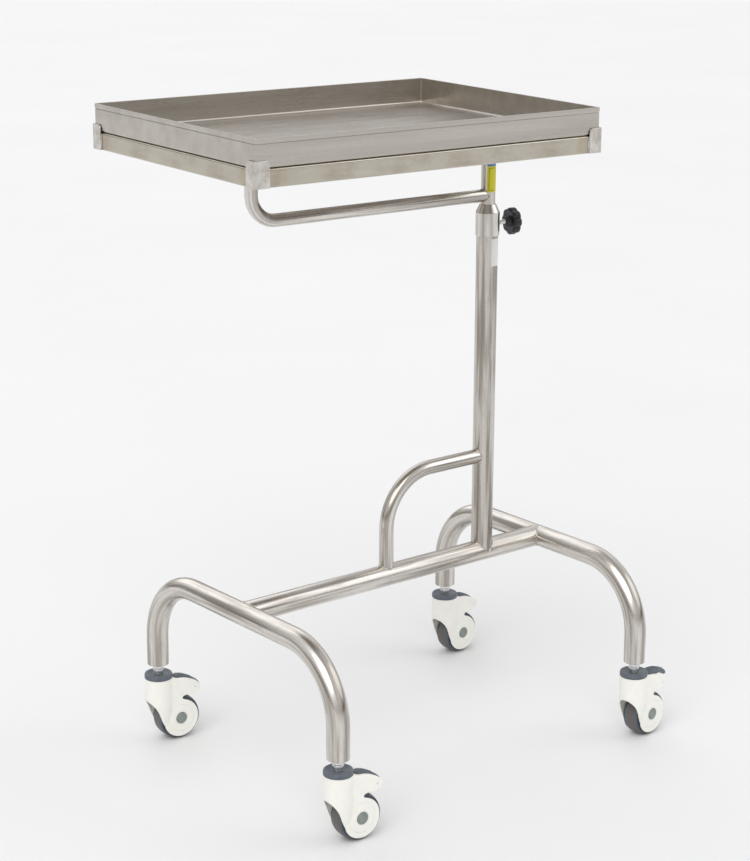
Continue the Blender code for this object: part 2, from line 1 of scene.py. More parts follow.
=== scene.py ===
"""Looks of the stainless instrument cart.

Drawn tube with streaks and weld beads, a brushed pressed tray with a folded hem on a polished rail frame,
and four white plastic casters with grey brake pedals.

Metres, +Z up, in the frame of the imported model. Most pieces are made in a frame of their own (the tray's, the
clamp's or a caster's, worked out from the joints) and placed by that frame's matrix.
"""

import json
import math

import bmesh
import bpy
from mathutils import Matrix, Vector, noise


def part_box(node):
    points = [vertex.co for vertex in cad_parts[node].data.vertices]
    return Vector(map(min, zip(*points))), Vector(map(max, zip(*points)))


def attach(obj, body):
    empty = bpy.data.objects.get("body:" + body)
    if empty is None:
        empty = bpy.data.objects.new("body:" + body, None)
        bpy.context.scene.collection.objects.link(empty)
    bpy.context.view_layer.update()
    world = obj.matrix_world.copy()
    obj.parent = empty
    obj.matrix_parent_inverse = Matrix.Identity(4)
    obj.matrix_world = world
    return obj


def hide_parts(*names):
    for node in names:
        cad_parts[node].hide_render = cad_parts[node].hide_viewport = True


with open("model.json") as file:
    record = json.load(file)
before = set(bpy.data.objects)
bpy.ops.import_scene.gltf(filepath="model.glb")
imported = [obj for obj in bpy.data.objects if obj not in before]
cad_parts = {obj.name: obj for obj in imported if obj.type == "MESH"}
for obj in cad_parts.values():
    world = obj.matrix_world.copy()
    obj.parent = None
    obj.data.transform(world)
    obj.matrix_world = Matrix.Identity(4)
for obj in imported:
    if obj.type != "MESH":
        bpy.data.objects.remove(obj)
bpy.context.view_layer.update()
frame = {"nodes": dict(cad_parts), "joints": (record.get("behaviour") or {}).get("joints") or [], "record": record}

TAU = 2 * math.pi
BASE_Z = 0.002  # the floor lies this far below the zero of every height in this script
CASTERS = ("back_left", "front_left", "back_right", "front_right")
ROUND, THIN_ROUND = 56, 48  # facets round a large and a thin tube

# Tubes: outer radii and bends
LEG_BEND_R = 0.118
BRACE_BEND_R = 0.096
BRACE_R = 0.0127
ARM_BEND_R = 0.045
ARM_R = 0.011
ARM_REACH = 0.483
WALL, POST_WALL, LEG_WALL = 0.0012, 0.0015, 0.0014
LEG_LIP = 0.0011  # the rolled edge of a leg's cut end
COLLAR_OVERLAP = 0.006
WELD_R, THICK_WELD_R, CLIP_WELD_R = 0.0012, 0.0013, 0.0009

# Labels: degrees round the tube, and heights
WHITE_LABEL_TURNS = (-109, -37)
WHITE_LABEL_HEIGHTS = (0.8376, 0.8857)
YELLOW_LABEL_TURNS = (-141, -46)
YELLOW_LABEL_HEIGHTS = (0.9665, 1.0115)
BLUE_LABEL_H = 0.0035
FRAME_LINE_INSET, FRAME_LINE = 0.0030, 0.0007

# Tray and frame
TRAY_LENGTH, TRAY_WIDTH, TRAY_CENTRE = 0.666, 0.489, -0.2964
TRAY_STEP = 0.0006  # the walls stand this far inside the hem
TRAY_HEM_H = 0.0072
TRAY_GROOVE, TRAY_GROOVE_INSET = 0.0016, 0.0021
TRAY_SHEET = 0.001
TRAY_CORNER_R, TIGHT_R = 0.0040, 0.0012  # outside, and the least inside
TRAY_FILLET = 0.004
RAIL_WIDTH = 0.020
RAIL_CORNER_R = 0.0028
CLIP_SHEET = 0.0022
CLIP_FLANGE = 0.0262
CLIP_CORNER_R = 0.0072
CLIP_FOLD_R = 0.0026

# Clamp
KNOB_LOBES = 8
KNOB_X = 0.035
THREAD_PITCH = 0.00125

# Casters, from the swivel axis along the trail
WHEEL_TRAIL = 0.034
AXLE_Z = 0.038
BODY_R = 0.0245
CHEEK = 0.0193  # half the housing's width over its wheel covers
CAVITY = 0.0166  # half the wheel's space
SHELL_WALL = 0.0024
COVER_R = 0.0251
COVER_GAP = 0.00022
SHELL_VOXEL = 0.0006
PEDAL_HALF = 0.0101
PEDAL_CROWN = 0.0034
PEDAL_X, PEDAL_Z = 0.032, 0.110  # its pivot
PEDAL_NOSE_X = 0.0284
GRIPS, GRIP_X, GRIP_STEP = 7, 0.0375, 0.0042


# ---------------------------------------------------------------- frames


def joint(name):
    return next(j for j in frame["joints"] if j["name"] == name)


def joint_place(name):
    return Vector(joint(name)["pos_m"])


def tray_matrix():
    """The frame of the tray group: on the column's axis, x along the tray's length away from its free end."""
    axis = joint_place("tray_swivel")
    floor = next(m for m in frame["record"]["mounts"] if m["name"] == "tray_floor")
    reach = axis - Vector(floor["pos_m"])
    turn = math.atan2(reach.y, reach.x)
    return Matrix.Translation((axis.x, axis.y, BASE_Z)) @ Matrix.Rotation(turn, 4, "Z")


def caster_matrix(name):
    """The frame of a caster: on its swivel axis, x along its trail."""
    swivel = joint_place("swivel_" + name)
    trail = joint_place("roll_" + name) - swivel
    turn = math.atan2(trail.y, trail.x)
    return Matrix.Translation((swivel.x, swivel.y, BASE_Z)) @ Matrix.Rotation(turn, 4, "Z")


def clamp_matrix():
    place = joint_place("clamp_turn")
    axis = joint("clamp_turn")["axis"]
    return Matrix.Translation(place) @ Matrix.Rotation(math.atan2(axis[1], axis[0]), 4, "Z")


def base_matrix():
    places = [joint_place("swivel_" + name) for name in CASTERS]
    middle = sum(places, Vector()) / len(places)
    return Matrix.Translation((middle.x, middle.y, BASE_Z))


def low(node):
    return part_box(node)[0].z - BASE_Z


def high(node):
    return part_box(node)[1].z - BASE_Z


BASE = base_matrix()
TRAY = tray_matrix()
CLAMP = clamp_matrix()
COLUMN = Matrix.Translation((joint_place("tray_swivel").x, joint_place("tray_swivel").y, BASE_Z))
HALF_SPACING = abs(joint_place("swivel_back_left").x - BASE.translation.x)
HALF_SPREAD = abs(joint_place("swivel_back_left").y - BASE.translation.y)
COLUMN_X = COLUMN.translation.x - BASE.translation.x
TUBE_R = (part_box("column")[1].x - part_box("column")[0].x) / 2
POST_R = (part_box("inner_post")[1].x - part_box("inner_post")[0].x) / 2
BEAM_Z = (low("base_beam") + high("base_beam")) / 2
LEG_FOOT_Z = low("leg_left")
BRACE_Z = high("brace") - BRACE_R
BRACE_FOOT_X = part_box("brace")[0].x + BRACE_R - BASE.translation.x
ARM_Z = low("support_arm") + ARM_R
FRAME_BOTTOM_Z, FRAME_TOP_Z = low("tray_rail_left"), high("tray_rail_left")
TRAY_BOTTOM_Z, TRAY_RIM_Z = low("tray"), high("tray")


# ---------------------------------------------------------------- materials


class Nodes:
    """Short calls that build a node tree."""

    def __init__(self, tree):
        self.tree = tree

    def node(self, kind, **inputs):
        made = self.tree.nodes.new("ShaderNode" + kind)
        for key, value in inputs.items():
            self.feed(made.inputs[key], value)
        return made

    def feed(self, socket, value):
        if isinstance(value, bpy.types.NodeSocket):
            self.tree.links.new(value, socket)
        elif isinstance(value, tuple) and len(value) == 3 and socket.type == "RGBA":
            socket.default_value = (*value, 1.0)
        else:
            socket.default_value = value

    def ramp(self, value, stops):
        made = self.node("ValToRGB", Fac=value)
        elements = made.color_ramp.elements
        while len(elements) < len(stops):
            elements.new(0.5)
        for element, (place, colour) in zip(elements, stops):
            element.position = place
            element.color = (*colour, 1.0)
        return made.outputs["Color"]

    def span(self, value, low, high, out_low, out_high):
        made = self.node("MapRange", Value=value)
        for key, number in zip(("From Min", "From Max", "To Min", "To Max"), (low, high, out_low, out_high)):
            made.inputs[key].default_value = number
        return made.outputs["Result"]

    def swing(self, value, out_low, out_high):
        """A noise value, from its usual low to its usual high, spread over a range."""
        return self.span(value, 0.3, 0.7, out_low, out_high)

    def math(self, operation, first, second=0.0):
        made = self.node("Math")
        made.operation = operation
        self.feed(made.inputs[0], first)
        self.feed(made.inputs[1], second)
        return made.outputs["Value"]

    def mix(self, factor, first, second):
        made = self.node("Mix")
        made.data_type = "RGBA"
        for socket, value in ((made.inputs[0], factor), (made.inputs[6], first), (made.inputs[7], second)):
            self.feed(socket, value)
        return made.outputs[2]


class Look(Nodes):
    """A Principled material and its node tree."""

    def __init__(self, name, metallic=0.0, roughness=0.5, **sockets):
        self.made = bpy.data.materials.new(name)
        self.made.use_nodes = True
        super().__init__(self.made.node_tree)
        self.shader = self.tree.nodes["Principled BSDF"]
        self.shader.inputs["Metallic"].default_value = metallic
        self.shader.inputs["Roughness"].default_value = roughness
        for socket, value in sockets.items():
            self.shader.inputs[socket.replace("_", " ")].default_value = value

    def noise(self, vector, scale, detail, roughness):
        mapping = self.node("Mapping", Vector=vector)
        mapping.inputs["Scale"].default_value = scale
        settings = {"Scale": 1.0, "Detail": detail, "Roughness": roughness}
        return self.node("TexNoise", Vector=mapping.outputs["Vector"], **settings).outputs["Fac"]

    def streaks(self, across_scale, length_scale, detail=3.0, roughness=0.55):
        """Noise that follows a swept piece: so fine round it, and so fine along it."""
        uv = self.node("UVMap")
        uv.uv_map = "along"
        return self.noise(uv.outputs["UV"], (across_scale, length_scale, 1), detail, roughness)

    def grain(self, scale, detail=3.0, roughness=0.55):
        """Noise fixed to the piece, equally fine every way or as fine as each of three scales."""
        scales = scale if isinstance(scale, tuple) else (scale,) * 3
        return self.noise(self.node("TexCoord").outputs["Object"], scales, detail, roughness)

    def bump(self, height, strength, distance=0.0005, after=None):
        made = self.node("Bump", Height=height, Strength=strength, Distance=distance)
        if after is not None:
            self.feed(made.inputs["Normal"], after)
        return made.outputs["Normal"]

    def finish(self, colour=None, roughness=None, normal=None):
        for key, value in (("Base Color", colour), ("Roughness", roughness), ("Normal", normal)):
            if value is not None:
                self.feed(self.shader.inputs[key], value)
        return self.made


def darker(colour, share):
    return tuple(c * share for c in colour)


def drawn_tube(name, light, dark, rough_low, rough_high):
    """Polished drawn tube: broad soft streaks in tone and gloss, fine draw lines, and faint smears."""
    look = Look(name, metallic=1.0)
    streaks = look.streaks(85, 3.2)
    threads = look.streaks(420, 7)
    smears = look.streaks(52, 16, 5.0, 0.65)
    lines = look.streaks(2600, 16, 2.0)
    stops = ((0.34, darker(dark, 0.72)), (0.46, dark), (0.54, light), (0.66, darker(light, 1.10)))
    tone = look.ramp(streaks, stops)
    tone = look.mix(look.span(threads, 0.56, 0.78, 0.0, 0.45), tone, dark)
    tone = look.mix(look.span(smears, 0.55, 0.80, 0.0, 0.50), tone, darker(dark, 0.70))
    gloss = look.swing(streaks, rough_low, rough_high)
    roughness = look.math("ADD", gloss, look.span(smears, 0.4, 0.8, 0.0, 0.10))
    fine = look.bump(lines, 0.07, 0.0002)
    dents = look.bump(look.streaks(26, 8, 2.0), 0.20, 0.0012, fine)
    return look.finish(tone, roughness, dents)


def brushed_sheet():
    """Brushed stainless sheet: fine lines along the tray's length, cloudy gloss, faint scratches."""
    look = Look("brushed_sheet", metallic=1.0)
    lines = look.grain((9, 1400, 1400))
    bands = look.grain((1.6, 40, 40))
    clouds = look.grain((7, 9, 16), 4.0)
    scratch = look.grain((60, 700, 300), 2.0, 0.4)
    tone = look.mix(look.span(bands, 0.35, 0.68, 0.0, 1.0), (0.470, 0.438, 0.398), (0.550, 0.518, 0.476))
    tone = look.mix(look.span(clouds, 0.55, 0.85, 0.0, 0.30), tone, (0.46, 0.43, 0.39))
    tone = look.mix(look.span(scratch, 0.70, 0.82, 0.0, 0.35), tone, (0.72, 0.70, 0.68))
    roughness = look.math("ADD", look.swing(lines, 0.22, 0.34), look.swing(clouds, -0.02, 0.05))
    fine = look.bump(lines, 0.08, 0.0002)
    return look.finish(tone, roughness, look.bump(clouds, 0.08, 0.0008, fine))


def polished_rail():
    """Polished rail: a warm tone, cloudy smears, and straw and brown heat tint towards its welded ends."""
    look = Look("polished_rail", metallic=1.0)
    smears = look.streaks(150, 17, 5.0, 0.62)
    streaks = look.streaks(500, 8)
    patches = look.streaks(90, 60)
    ends = look.node("Attribute")
    ends.attribute_name = "to_end"
    near = look.math("ADD", ends.outputs["Fac"], look.swing(patches, -0.012, 0.012))
    tints = (
        (0.0, (0.50, 0.46, 0.42)), (0.25, (0.42, 0.37, 0.31)),
        (0.5, (0.49, 0.44, 0.34)), (0.9, (0.50, 0.465, 0.395)),
    )
    heat = look.ramp(look.span(near, 0.018, 0.062, 0.0, 1.0), tints)
    tone = look.mix(look.span(smears, 0.45, 0.75, 0.0, 0.60), heat, (0.36, 0.31, 0.24))
    tone = look.mix(look.span(streaks, 0.55, 0.75, 0.0, 0.4), tone, (0.62, 0.59, 0.53))
    roughness = look.math("ADD", look.span(smears, 0.35, 0.7, 0.13, 0.27), look.swing(streaks, 0.0, 0.06))
    dents = look.bump(look.streaks(24, 10, 2.0), 0.20, 0.001)
    return look.finish(tone, roughness, look.bump(streaks, 0.06, 0.0002, dents))


def clip_plate():
    """The corner plates: the rail's steel, ground after welding."""
    look = Look("clip_plate", metallic=1.0)
    grind = look.grain((260, 260, 90))
    patches = look.grain((70, 70, 60))
    stops = ((0.30, (0.47, 0.43, 0.38)), (0.50, (0.60, 0.57, 0.53)), (0.72, (0.70, 0.68, 0.65)))
    tone = look.ramp(patches, stops)
    return look.finish(tone, look.swing(grind, 0.18, 0.34), look.bump(grind, 0.14, 0.0003))


def weld_bead():
    look = Look("weld_bead", metallic=1.0)
    patches = look.grain(160)
    stops = ((0.30, (0.36, 0.32, 0.28)), (0.55, (0.58, 0.55, 0.51)), (0.75, (0.74, 0.72, 0.69)))
    tone = look.ramp(patches, stops)
    return look.finish(tone, look.swing(patches, 0.20, 0.34), look.bump(patches, 0.25, 0.0003))


def zinc_plate():
    look = Look("zinc_plate", metallic=1.0)
    grain = look.grain(420)
    cloud = look.grain(90, 2.0)
    tone = look.mix(cloud, (0.68, 0.69, 0.68), (0.80, 0.80, 0.78))
    return look.finish(tone, look.swing(grain, 0.18, 0.30), look.bump(grain, 0.05, 0.0002))


def moulded(name, colour, cloudy, roughness, grain_scale, bump=0.12, specular=0.5):
    """Moulded plastic: a fine grain, faint clouds in tone and gloss."""
    look = Look(name, Specular_IOR_Level=specular)
    grain = look.grain(grain_scale)
    cloud = look.grain(55)
    tone = look.mix(look.span(cloud, 0.35, 0.70, 0.0, 1.0), colour, cloudy)
    gloss = look.swing(grain, roughness - 0.04, roughness + 0.04)
    gloss = look.math("ADD", gloss, look.swing(cloud, -0.03, 0.05))
    return look.finish(tone, gloss, look.bump(grain, bump, 0.0002))


def tread_rubber():
    """Soft grey tread, with a browned band where it runs on the floor."""
    look = Look("tread_rubber", Specular_IOR_Level=0.4)
    place = look.node("TexCoord")
    split = look.node("SeparateXYZ", Vector=place.outputs["Object"])
    wander = look.grain((40, 8, 40), 4.0)
    across = look.math("ABSOLUTE", split.outputs["Y"])
    edge = look.math("ADD", across, look.swing(wander, -0.0022, 0.0022))
    band = look.span(edge, 0.0022, 0.0048, 1.0, 0.0)
    grain = look.grain(520)
    tone = look.mix(look.swing(wander, 0.0, 1.0), (0.088, 0.098, 0.112), (0.130, 0.140, 0.155))
    tone = look.mix(look.math("MULTIPLY", band, 0.62), tone, (0.150, 0.105, 0.062))
    return look.finish(tone, look.swing(grain, 0.36, 0.50), look.bump(grain, 0.16, 0.0002))


def paper(name, colour):
    look = Look(name, Specular_IOR_Level=0.5)
    fibre = look.grain(900, 2.0)
    cloud = look.grain(80, 2.0)
    tone = look.mix(cloud, colour, darker(colour, 0.90))
    return look.finish(tone, look.swing(fibre, 0.40, 0.50), look.bump(fibre, 0.05, 0.0001))


LOOKS = {
    "tube": drawn_tube("drawn_tube", (0.68, 0.65, 0.61), (0.47, 0.435, 0.395), 0.16, 0.28),
    "column": drawn_tube("column_tube", (0.56, 0.53, 0.49), (0.36, 0.33, 0.29), 0.16, 0.28),
    "post": drawn_tube("post_tube", (0.60, 0.57, 0.53), (0.42, 0.39, 0.35), 0.15, 0.24),
    "collar": drawn_tube("collar_steel", (0.66, 0.63, 0.60), (0.50, 0.47, 0.44), 0.14, 0.24),
    "sheet": brushed_sheet(),
    "rail": polished_rail(),
    "clip": clip_plate(),
    "weld": weld_bead(),
    "zinc": zinc_plate(),
    "brass": moulded("pad_brass", (0.55, 0.40, 0.16), (0.45, 0.32, 0.12), 0.35, 500),
    "white": moulded("white_nylon", (0.900, 0.895, 0.845), (0.870, 0.865, 0.810), 0.34, 900, 0.05),
    "grey": moulded("grey_plastic", (0.112, 0.132, 0.160), (0.088, 0.104, 0.126), 0.42, 700, 0.14),
    "cap": moulded("cap_plastic", (0.235, 0.270, 0.252), (0.180, 0.212, 0.198), 0.46, 800, 0.10),
    "core": moulded("core_plastic", (0.050, 0.060, 0.085), (0.036, 0.044, 0.062), 0.40, 600, 0.10),
    "black": moulded("knob_plastic", (0.016, 0.016, 0.018), (0.011, 0.011, 0.012), 0.36, 650, 0.12),
    "nylon": moulded("bush_nylon", (0.72, 0.72, 0.68), (0.66, 0.66, 0.62), 0.45, 600),
    "tread": tread_rubber(),
    "yellow": paper("yellow_label", (0.700, 0.640, 0.006)),
    "ink": paper("label_ink", (0.030, 0.028, 0.010)),
    "blue": paper("blue_label", (0.060, 0.200, 0.480)),
    "blank": paper("white_label", (0.800, 0.800, 0.790)),
}


# ---------------------------------------------------------------- mesh making


def linked(name, data):
    made = bpy.data.objects.new(name, data)
    bpy.context.scene.collection.objects.link(made)
    return made


def piece(name, mesh, look, body, place=Matrix(), stands_for=(), sharp=38):
    """Adds a finished piece: material, smooth shading, body, and the CAD nodes it replaces."""
    mesh.name = name
    mesh.materials.clear()
    mesh.materials.append(LOOKS[look])
    mesh.shade_smooth()
    mesh.set_sharp_from_angle(angle=math.radians(sharp))
    made = linked(name, mesh)
    made.matrix_world = place
    normals = made.modifiers.new("normals", "WEIGHTED_NORMAL")
    normals.keep_sharp = True
    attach(made, body)
    if stands_for:
        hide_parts(*stands_for)
    return made


def soften(made, width, angle=50):
    """Rounds a piece's sharp edges."""
    edges = made.modifiers.new("edges", "BEVEL")
    edges.width = width
    edges.segments = 3
    edges.limit_method = "ANGLE"
    edges.angle_limit = math.radians(angle)
    made.modifiers.move(len(made.modifiers) - 1, 0)


def from_rings(rings, looped=False, lengths=None, radius=None):
    """Skins a list of equal rings of points. Looped rings join last to first; otherwise the ends are capped.

    With lengths, the skin gets coordinates round it and along it.
    """
    bm = bmesh.new()
    uv = bm.loops.layers.uv.new("along")
    grid = [[bm.verts.new(point) for point in ring] for ring in rings]
    count = len(grid[0])
    for i in range(len(grid) if looped else len(grid) - 1):
        here, after = grid[i], grid[(i + 1) % len(grid)]
        for j in range(count):
            k = (j + 1) % count
            face = bm.faces.new((here[j], here[k], after[k], after[j]))
            if lengths is not None:
                low, high = lengths[i], lengths[(i + 1) % len(lengths)]
                corners = ((j, low), (j + 1, low), (j + 1, high), (j, high))
                for loop, (turn, length) in zip(face.loops, corners):
                    loop[uv].uv = (turn * TAU * radius / count, length)
    if not looped:
        bm.faces.new(list(reversed(grid[0])))
        bm.faces.new(grid[-1])
    return to_mesh(bm)


def to_mesh(bm):
    bmesh.ops.recalc_face_normals(bm, faces=bm.faces)
    mesh = bpy.data.meshes.new("mesh")
    bm.to_mesh(mesh)
    bm.free()
    return mesh


def bent_path(points, radius, step=math.radians(4)):
    """A line through points with each inner corner rounded to a radius."""
    points = [Vector(p) for p in points]
    path = [points[0]]
    for before, corner, after in zip(points, points[1:], points[2:]):
        to_before = (before - corner).normalized()
        to_after = (after - corner).normalized()
        half = to_before.angle(to_after) / 2
        centre = corner + (to_before + to_after).normalized() * (radius / math.sin(half))
        sweep = math.pi - 2 * half
        start = corner + to_before * (radius / math.tan(half)) - centre
        normal = to_before.cross(start).normalized()
        steps = max(2, round(sweep / step))
        path += [centre + Matrix.Rotation(sweep * i / steps, 3, normal) @ start for i in range(steps + 1)]
    path.append(points[-1])
    return path


def path_frames(path, looped=False):
    """At each point of a path: the point, its direction, and two directions across that do not twist."""
    count = len(path)
    directions = []
    for i in range(count):
        before = path[i - 1] if looped or i else path[i]
        after = path[(i + 1) % count] if looped or i < count - 1 else path[i]
        directions.append((after - before).normalized())
    side = directions[0].orthogonal().normalized()
    frames = []
    for point, direction in zip(path, directions):
        side = (side - direction * side.dot(direction)).normalized()
        frames.append((point, direction, side, direction.cross(side)))
    return frames


def ring_at(frame_here, radius, shift, sides):
    point, direction, side, other = frame_here
    centre = point + direction * shift
    turns = [TAU * i / sides for i in range(sides)]
    return [centre + (side * math.cos(a) + other * math.sin(a)) * radius for a in turns]


def tube_mesh(path, radius, wall=WALL, sides=ROUND, lip=0.0005):
    """A tube with a wall and softly rounded cut ends, along a path."""
    frames = path_frames([Vector(p) for p in path])
    first, last = frames[0], frames[-1]
    lip_turns = [math.radians(a) for a in (0, 30, 60, 90)]
    run = [0.0]
    for a, b in zip(frames, frames[1:]):
        run.append(run[-1] + (b[0] - a[0]).length)
    rings, lengths = [], []
    for turn in lip_turns:
        inset, shift = lip - lip * math.sin(turn), lip - lip * math.cos(turn)
        rings.append(ring_at(first, radius - inset, shift, sides))
        lengths.append(0.0)
    for here, length in list(zip(frames, run))[1:-1]:
        rings.append(ring_at(here, radius, 0, sides))
        lengths.append(length)
    for turn in reversed(lip_turns):
        inset, shift = lip - lip * math.sin(turn), lip - lip * math.cos(turn)
        rings.append(ring_at(last, radius - inset, -shift, sides))
        lengths.append(run[-1])
    for here, length in reversed(list(zip(frames, run))):
        rings.append(ring_at(here, radius - wall, 0, sides))
        lengths.append(length)
    return from_rings(rings, True, lengths, radius)


def bead_mesh(loop, radius, ripple=0.0022, sides=10, looped=True):
    """A weld bead: a thin cord along a line, swelling and narrowing with each ripple of the weld."""
    loop = [Vector(p) for p in loop]
    frames = path_frames(loop, looped)
    rings = []
    run = 0.0
    for i, here in enumerate(frames):
        if i:
            run += (loop[i] - loop[i - 1]).length
        swell = 1 + 0.16 * math.sin(TAU * run / ripple) + 0.18 * noise.noise(here[0] * 180)
        rings.append(ring_at(here, radius * swell, 0, sides))
    return from_rings(rings, looped)


def saddle(branch_r, main_r, branch, main, centre, steps=96):
    """The line where a branch tube meets a main tube whose axis passes through centre."""
    branch, main = Vector(branch), Vector(main)
    across = branch.cross(main)
    points = []
    for i in range(steps):
        turn = TAU * i / steps
        sideways = branch_r * math.sin(turn)
        rise = math.sqrt(max(0.0, main_r**2 - sideways**2))
        points.append(Vector(centre) + main * branch_r * math.cos(turn) + across * sideways + branch * rise)
    return points


def lathe_mesh(outline, sides=ROUND, axis="Z", place=(0, 0, 0)):
    """A closed outline of (radius, height) points turned about an axis; a third number rounds a corner."""
    outline = rounded(outline)
    bm = bmesh.new()
    uv = bm.loops.layers.uv.new("along")
    grid = [[] for _ in range(sides)]
    for r, h in outline:
        pole = bm.verts.new((0, 0, h)) if r < 1e-7 else None
        for i in range(sides):
            turn = TAU * i / sides
            grid[i].append(pole or bm.verts.new((r * math.cos(turn), r * math.sin(turn), h)))
    count = len(outline)
    run = [0.0]
    for a, b in zip(outline, outline[1:]):
        run.append(run[-1] + math.dist(a, b))
    widest = max(r for r, _ in outline)
    for i in range(sides):
        here, after = grid[i], grid[(i + 1) % sides]
        for j in range(count):
            k = (j + 1) % count
            corners = ((here[j], i, j), (here[k], i, k), (after[k], i + 1, k), (after[j], i + 1, j))
            kept = [c for n, c in enumerate(corners) if c[0] not in [d[0] for d in corners[:n]]]
            if len(kept) < 3:
                continue
            face = bm.faces.new([c[0] for c in kept])
            for loop, (_, turn, spot) in zip(face.loops, kept):
                loop[uv].uv = (turn * TAU * widest / sides, run[spot])
    if axis == "X":
        bmesh.ops.transform(bm, matrix=Matrix.Rotation(math.pi / 2, 4, "Y"), verts=bm.verts)
    if axis == "Y":
        bmesh.ops.transform(bm, matrix=Matrix.Rotation(-math.pi / 2, 4, "X"), verts=bm.verts)
    bmesh.ops.translate(bm, vec=place, verts=bm.verts)
    return to_mesh(bm)


def rounded(outline, steps=4):
    """Rounds the corners of a closed outline: a point (x, y, r) becomes an arc of radius r."""
    points = []
    count = len(outline)
    for i, point in enumerate(outline):
        if len(point) == 2 or not point[2]:
            points.append((point[0], point[1]))
            continue
        corner = Vector(point[:2])
        before = (Vector(outline[i - 1][:2]) - corner).normalized()
        after = (Vector(outline[(i + 1) % count][:2]) - corner).normalized()
        half = before.angle(after) / 2
        centre = corner + (before + after).normalized() * (point[2] / math.sin(half))
        start = corner + before * (point[2] / math.tan(half)) - centre
        end = corner + after * (point[2] / math.tan(half)) - centre
        sweep = start.angle_signed(end)
        for j in range(steps + 1):
            turn = -sweep * j / steps
            points.append(tuple(centre + Matrix.Rotation(turn, 2) @ start))
    return points


def spline(points, steps=6, looped=False):
    """A smooth curve through points, in two dimensions."""
    count = len(points)
    made = []
    for i in range(count if looped else count - 1):
        p0 = Vector(points[i - 1]) if looped or i else Vector(points[0])
        p1 = Vector(points[i])
        p2 = Vector(points[(i + 1) % count])
        p3 = Vector(points[(i + 2) % count]) if looped or i < count - 2 else Vector(points[-1])
        for j in range(steps):
            t = j / steps
            a = 2 * p1
            b = (p2 - p0) * t
            c = (2 * p0 - 5 * p1 + 4 * p2 - p3) * t**2
            d = (3 * p1 - p0 - 3 * p2 + p3) * t**3
            made.append(tuple((a + b + c + d) / 2))
    if not looped:
        made.append(tuple(points[-1]))
    return made


def arc(centre, radius, start, end, steps):
    turns = [math.radians(start + (end - start) * i / steps) for i in range(steps + 1)]
    return [(centre[0] + radius * math.cos(a), centre[1] + radius * math.sin(a)) for a in turns]


def plate_mesh(outline, low, high, axis="Z"):
    """An outline given a thickness. Along Y the outline is (x, z)."""
    bm = bmesh.new()
    face = bm.faces.new([bm.verts.new((x, y, low)) for x, y in outline])
    grown = bmesh.ops.extrude_face_region(bm, geom=[face])
    top = [v for v in grown["geom"] if isinstance(v, bmesh.types.BMVert)]
    bmesh.ops.translate(bm, vec=(0, 0, high - low), verts=top)
    if axis == "Y":
        bmesh.ops.transform(bm, matrix=Matrix.Rotation(math.pi / 2, 4, "X"), verts=bm.verts)
    return to_mesh(bm)


def patch_mesh(radius, turns, heights, thickness=0.00015, steps=16):
    """A label wrapped on a tube: from and to in degrees round Z, and from and to in height."""
    low, high = heights
    inner, outer = radius + 0.00004, radius + thickness
    rings = []
    for i in range(steps + 1):
        turn = math.radians(turns[0] + (turns[1] - turns[0]) * i / steps)
        c, s = math.cos(turn), math.sin(turn)
        corners = ((inner, low), (outer, low), (outer, high), (inner, high))
        rings.append([Vector((r * c, r * s, z)) for r, z in corners])
    return from_rings(rings)


# ---------------------------------------------------------------- base


def steel(name, mesh, look, body, place, *nodes):
    """A piece of the polished steel tubing, or a weld on it."""
    return piece(name, mesh, look, body, place, nodes)


def make_legs():
    for side, sign in (("left", -1), ("right", 1)):
        x = sign * HALF_SPACING
        corners = [(x, -HALF_SPREAD, LEG_FOOT_Z), (x, -HALF_SPREAD, BEAM_Z),
                   (x, HALF_SPREAD, BEAM_Z), (x, HALF_SPREAD, LEG_FOOT_Z)]
        mesh = tube_mesh(bent_path(corners, LEG_BEND_R), TUBE_R, LEG_WALL, lip=LEG_LIP)
        steel("leg_tube_" + side, mesh, "tube", "base", BASE, "leg_" + side)
        loop = saddle(TUBE_R + 0.0001, TUBE_R, (-sign, 0, 0), (0, 1, 0), (x, 0, BEAM_Z))
        steel("weld_beam_" + side, bead_mesh(loop, WELD_R), "weld", "base", BASE)


def make_beam_and_column():
    beam = [(-HALF_SPACING, 0, BEAM_Z), (-0.1, 0, BEAM_Z), (0.1, 0, BEAM_Z), (HALF_SPACING, 0, BEAM_Z)]
    steel("beam_tube", tube_mesh(beam, TUBE_R), "tube", "base", BASE, "base_beam")
    column = [(0, 0, BEAM_Z), (0, 0, 0.6), (0, 0, low("collar") + COLLAR_OVERLAP)]
    steel("column_tube", tube_mesh(column, TUBE_R), "column", "base", COLUMN, "column")
    loop = saddle(TUBE_R + 0.0001, TUBE_R, (0, 0, 1), (1, 0, 0), (COLUMN_X, 0, BEAM_Z))
    steel("weld_column_foot", bead_mesh(loop, THICK_WELD_R), "weld", "base", BASE)
    label = patch_mesh(TUBE_R, WHITE_LABEL_TURNS, WHITE_LABEL_HEIGHTS)
    piece("white_label", label, "blank", "base", COLUMN)


def make_brace():
    corners = [(COLUMN_X, 0, BRACE_Z), (BRACE_FOOT_X, 0, BRACE_Z), (BRACE_FOOT_X, 0, BEAM_Z)]
    brace = tube_mesh(bent_path(corners, BRACE_BEND_R), BRACE_R, sides=THIN_ROUND)
    steel("brace_tube", brace, "tube", "base", BASE, "brace")
    top = saddle(BRACE_R, TUBE_R, (-1, 0, 0), (0, 0, 1), (COLUMN_X, 0, BRACE_Z))
    foot = saddle(BRACE_R, TUBE_R, (0, 0, 1), (1, 0, 0), (BRACE_FOOT_X, 0, BEAM_Z))
    for name, loop in (("weld_brace_top", top), ("weld_brace_foot", foot)):
        steel(name, bead_mesh(loop, WELD_R), "weld", "base", BASE)


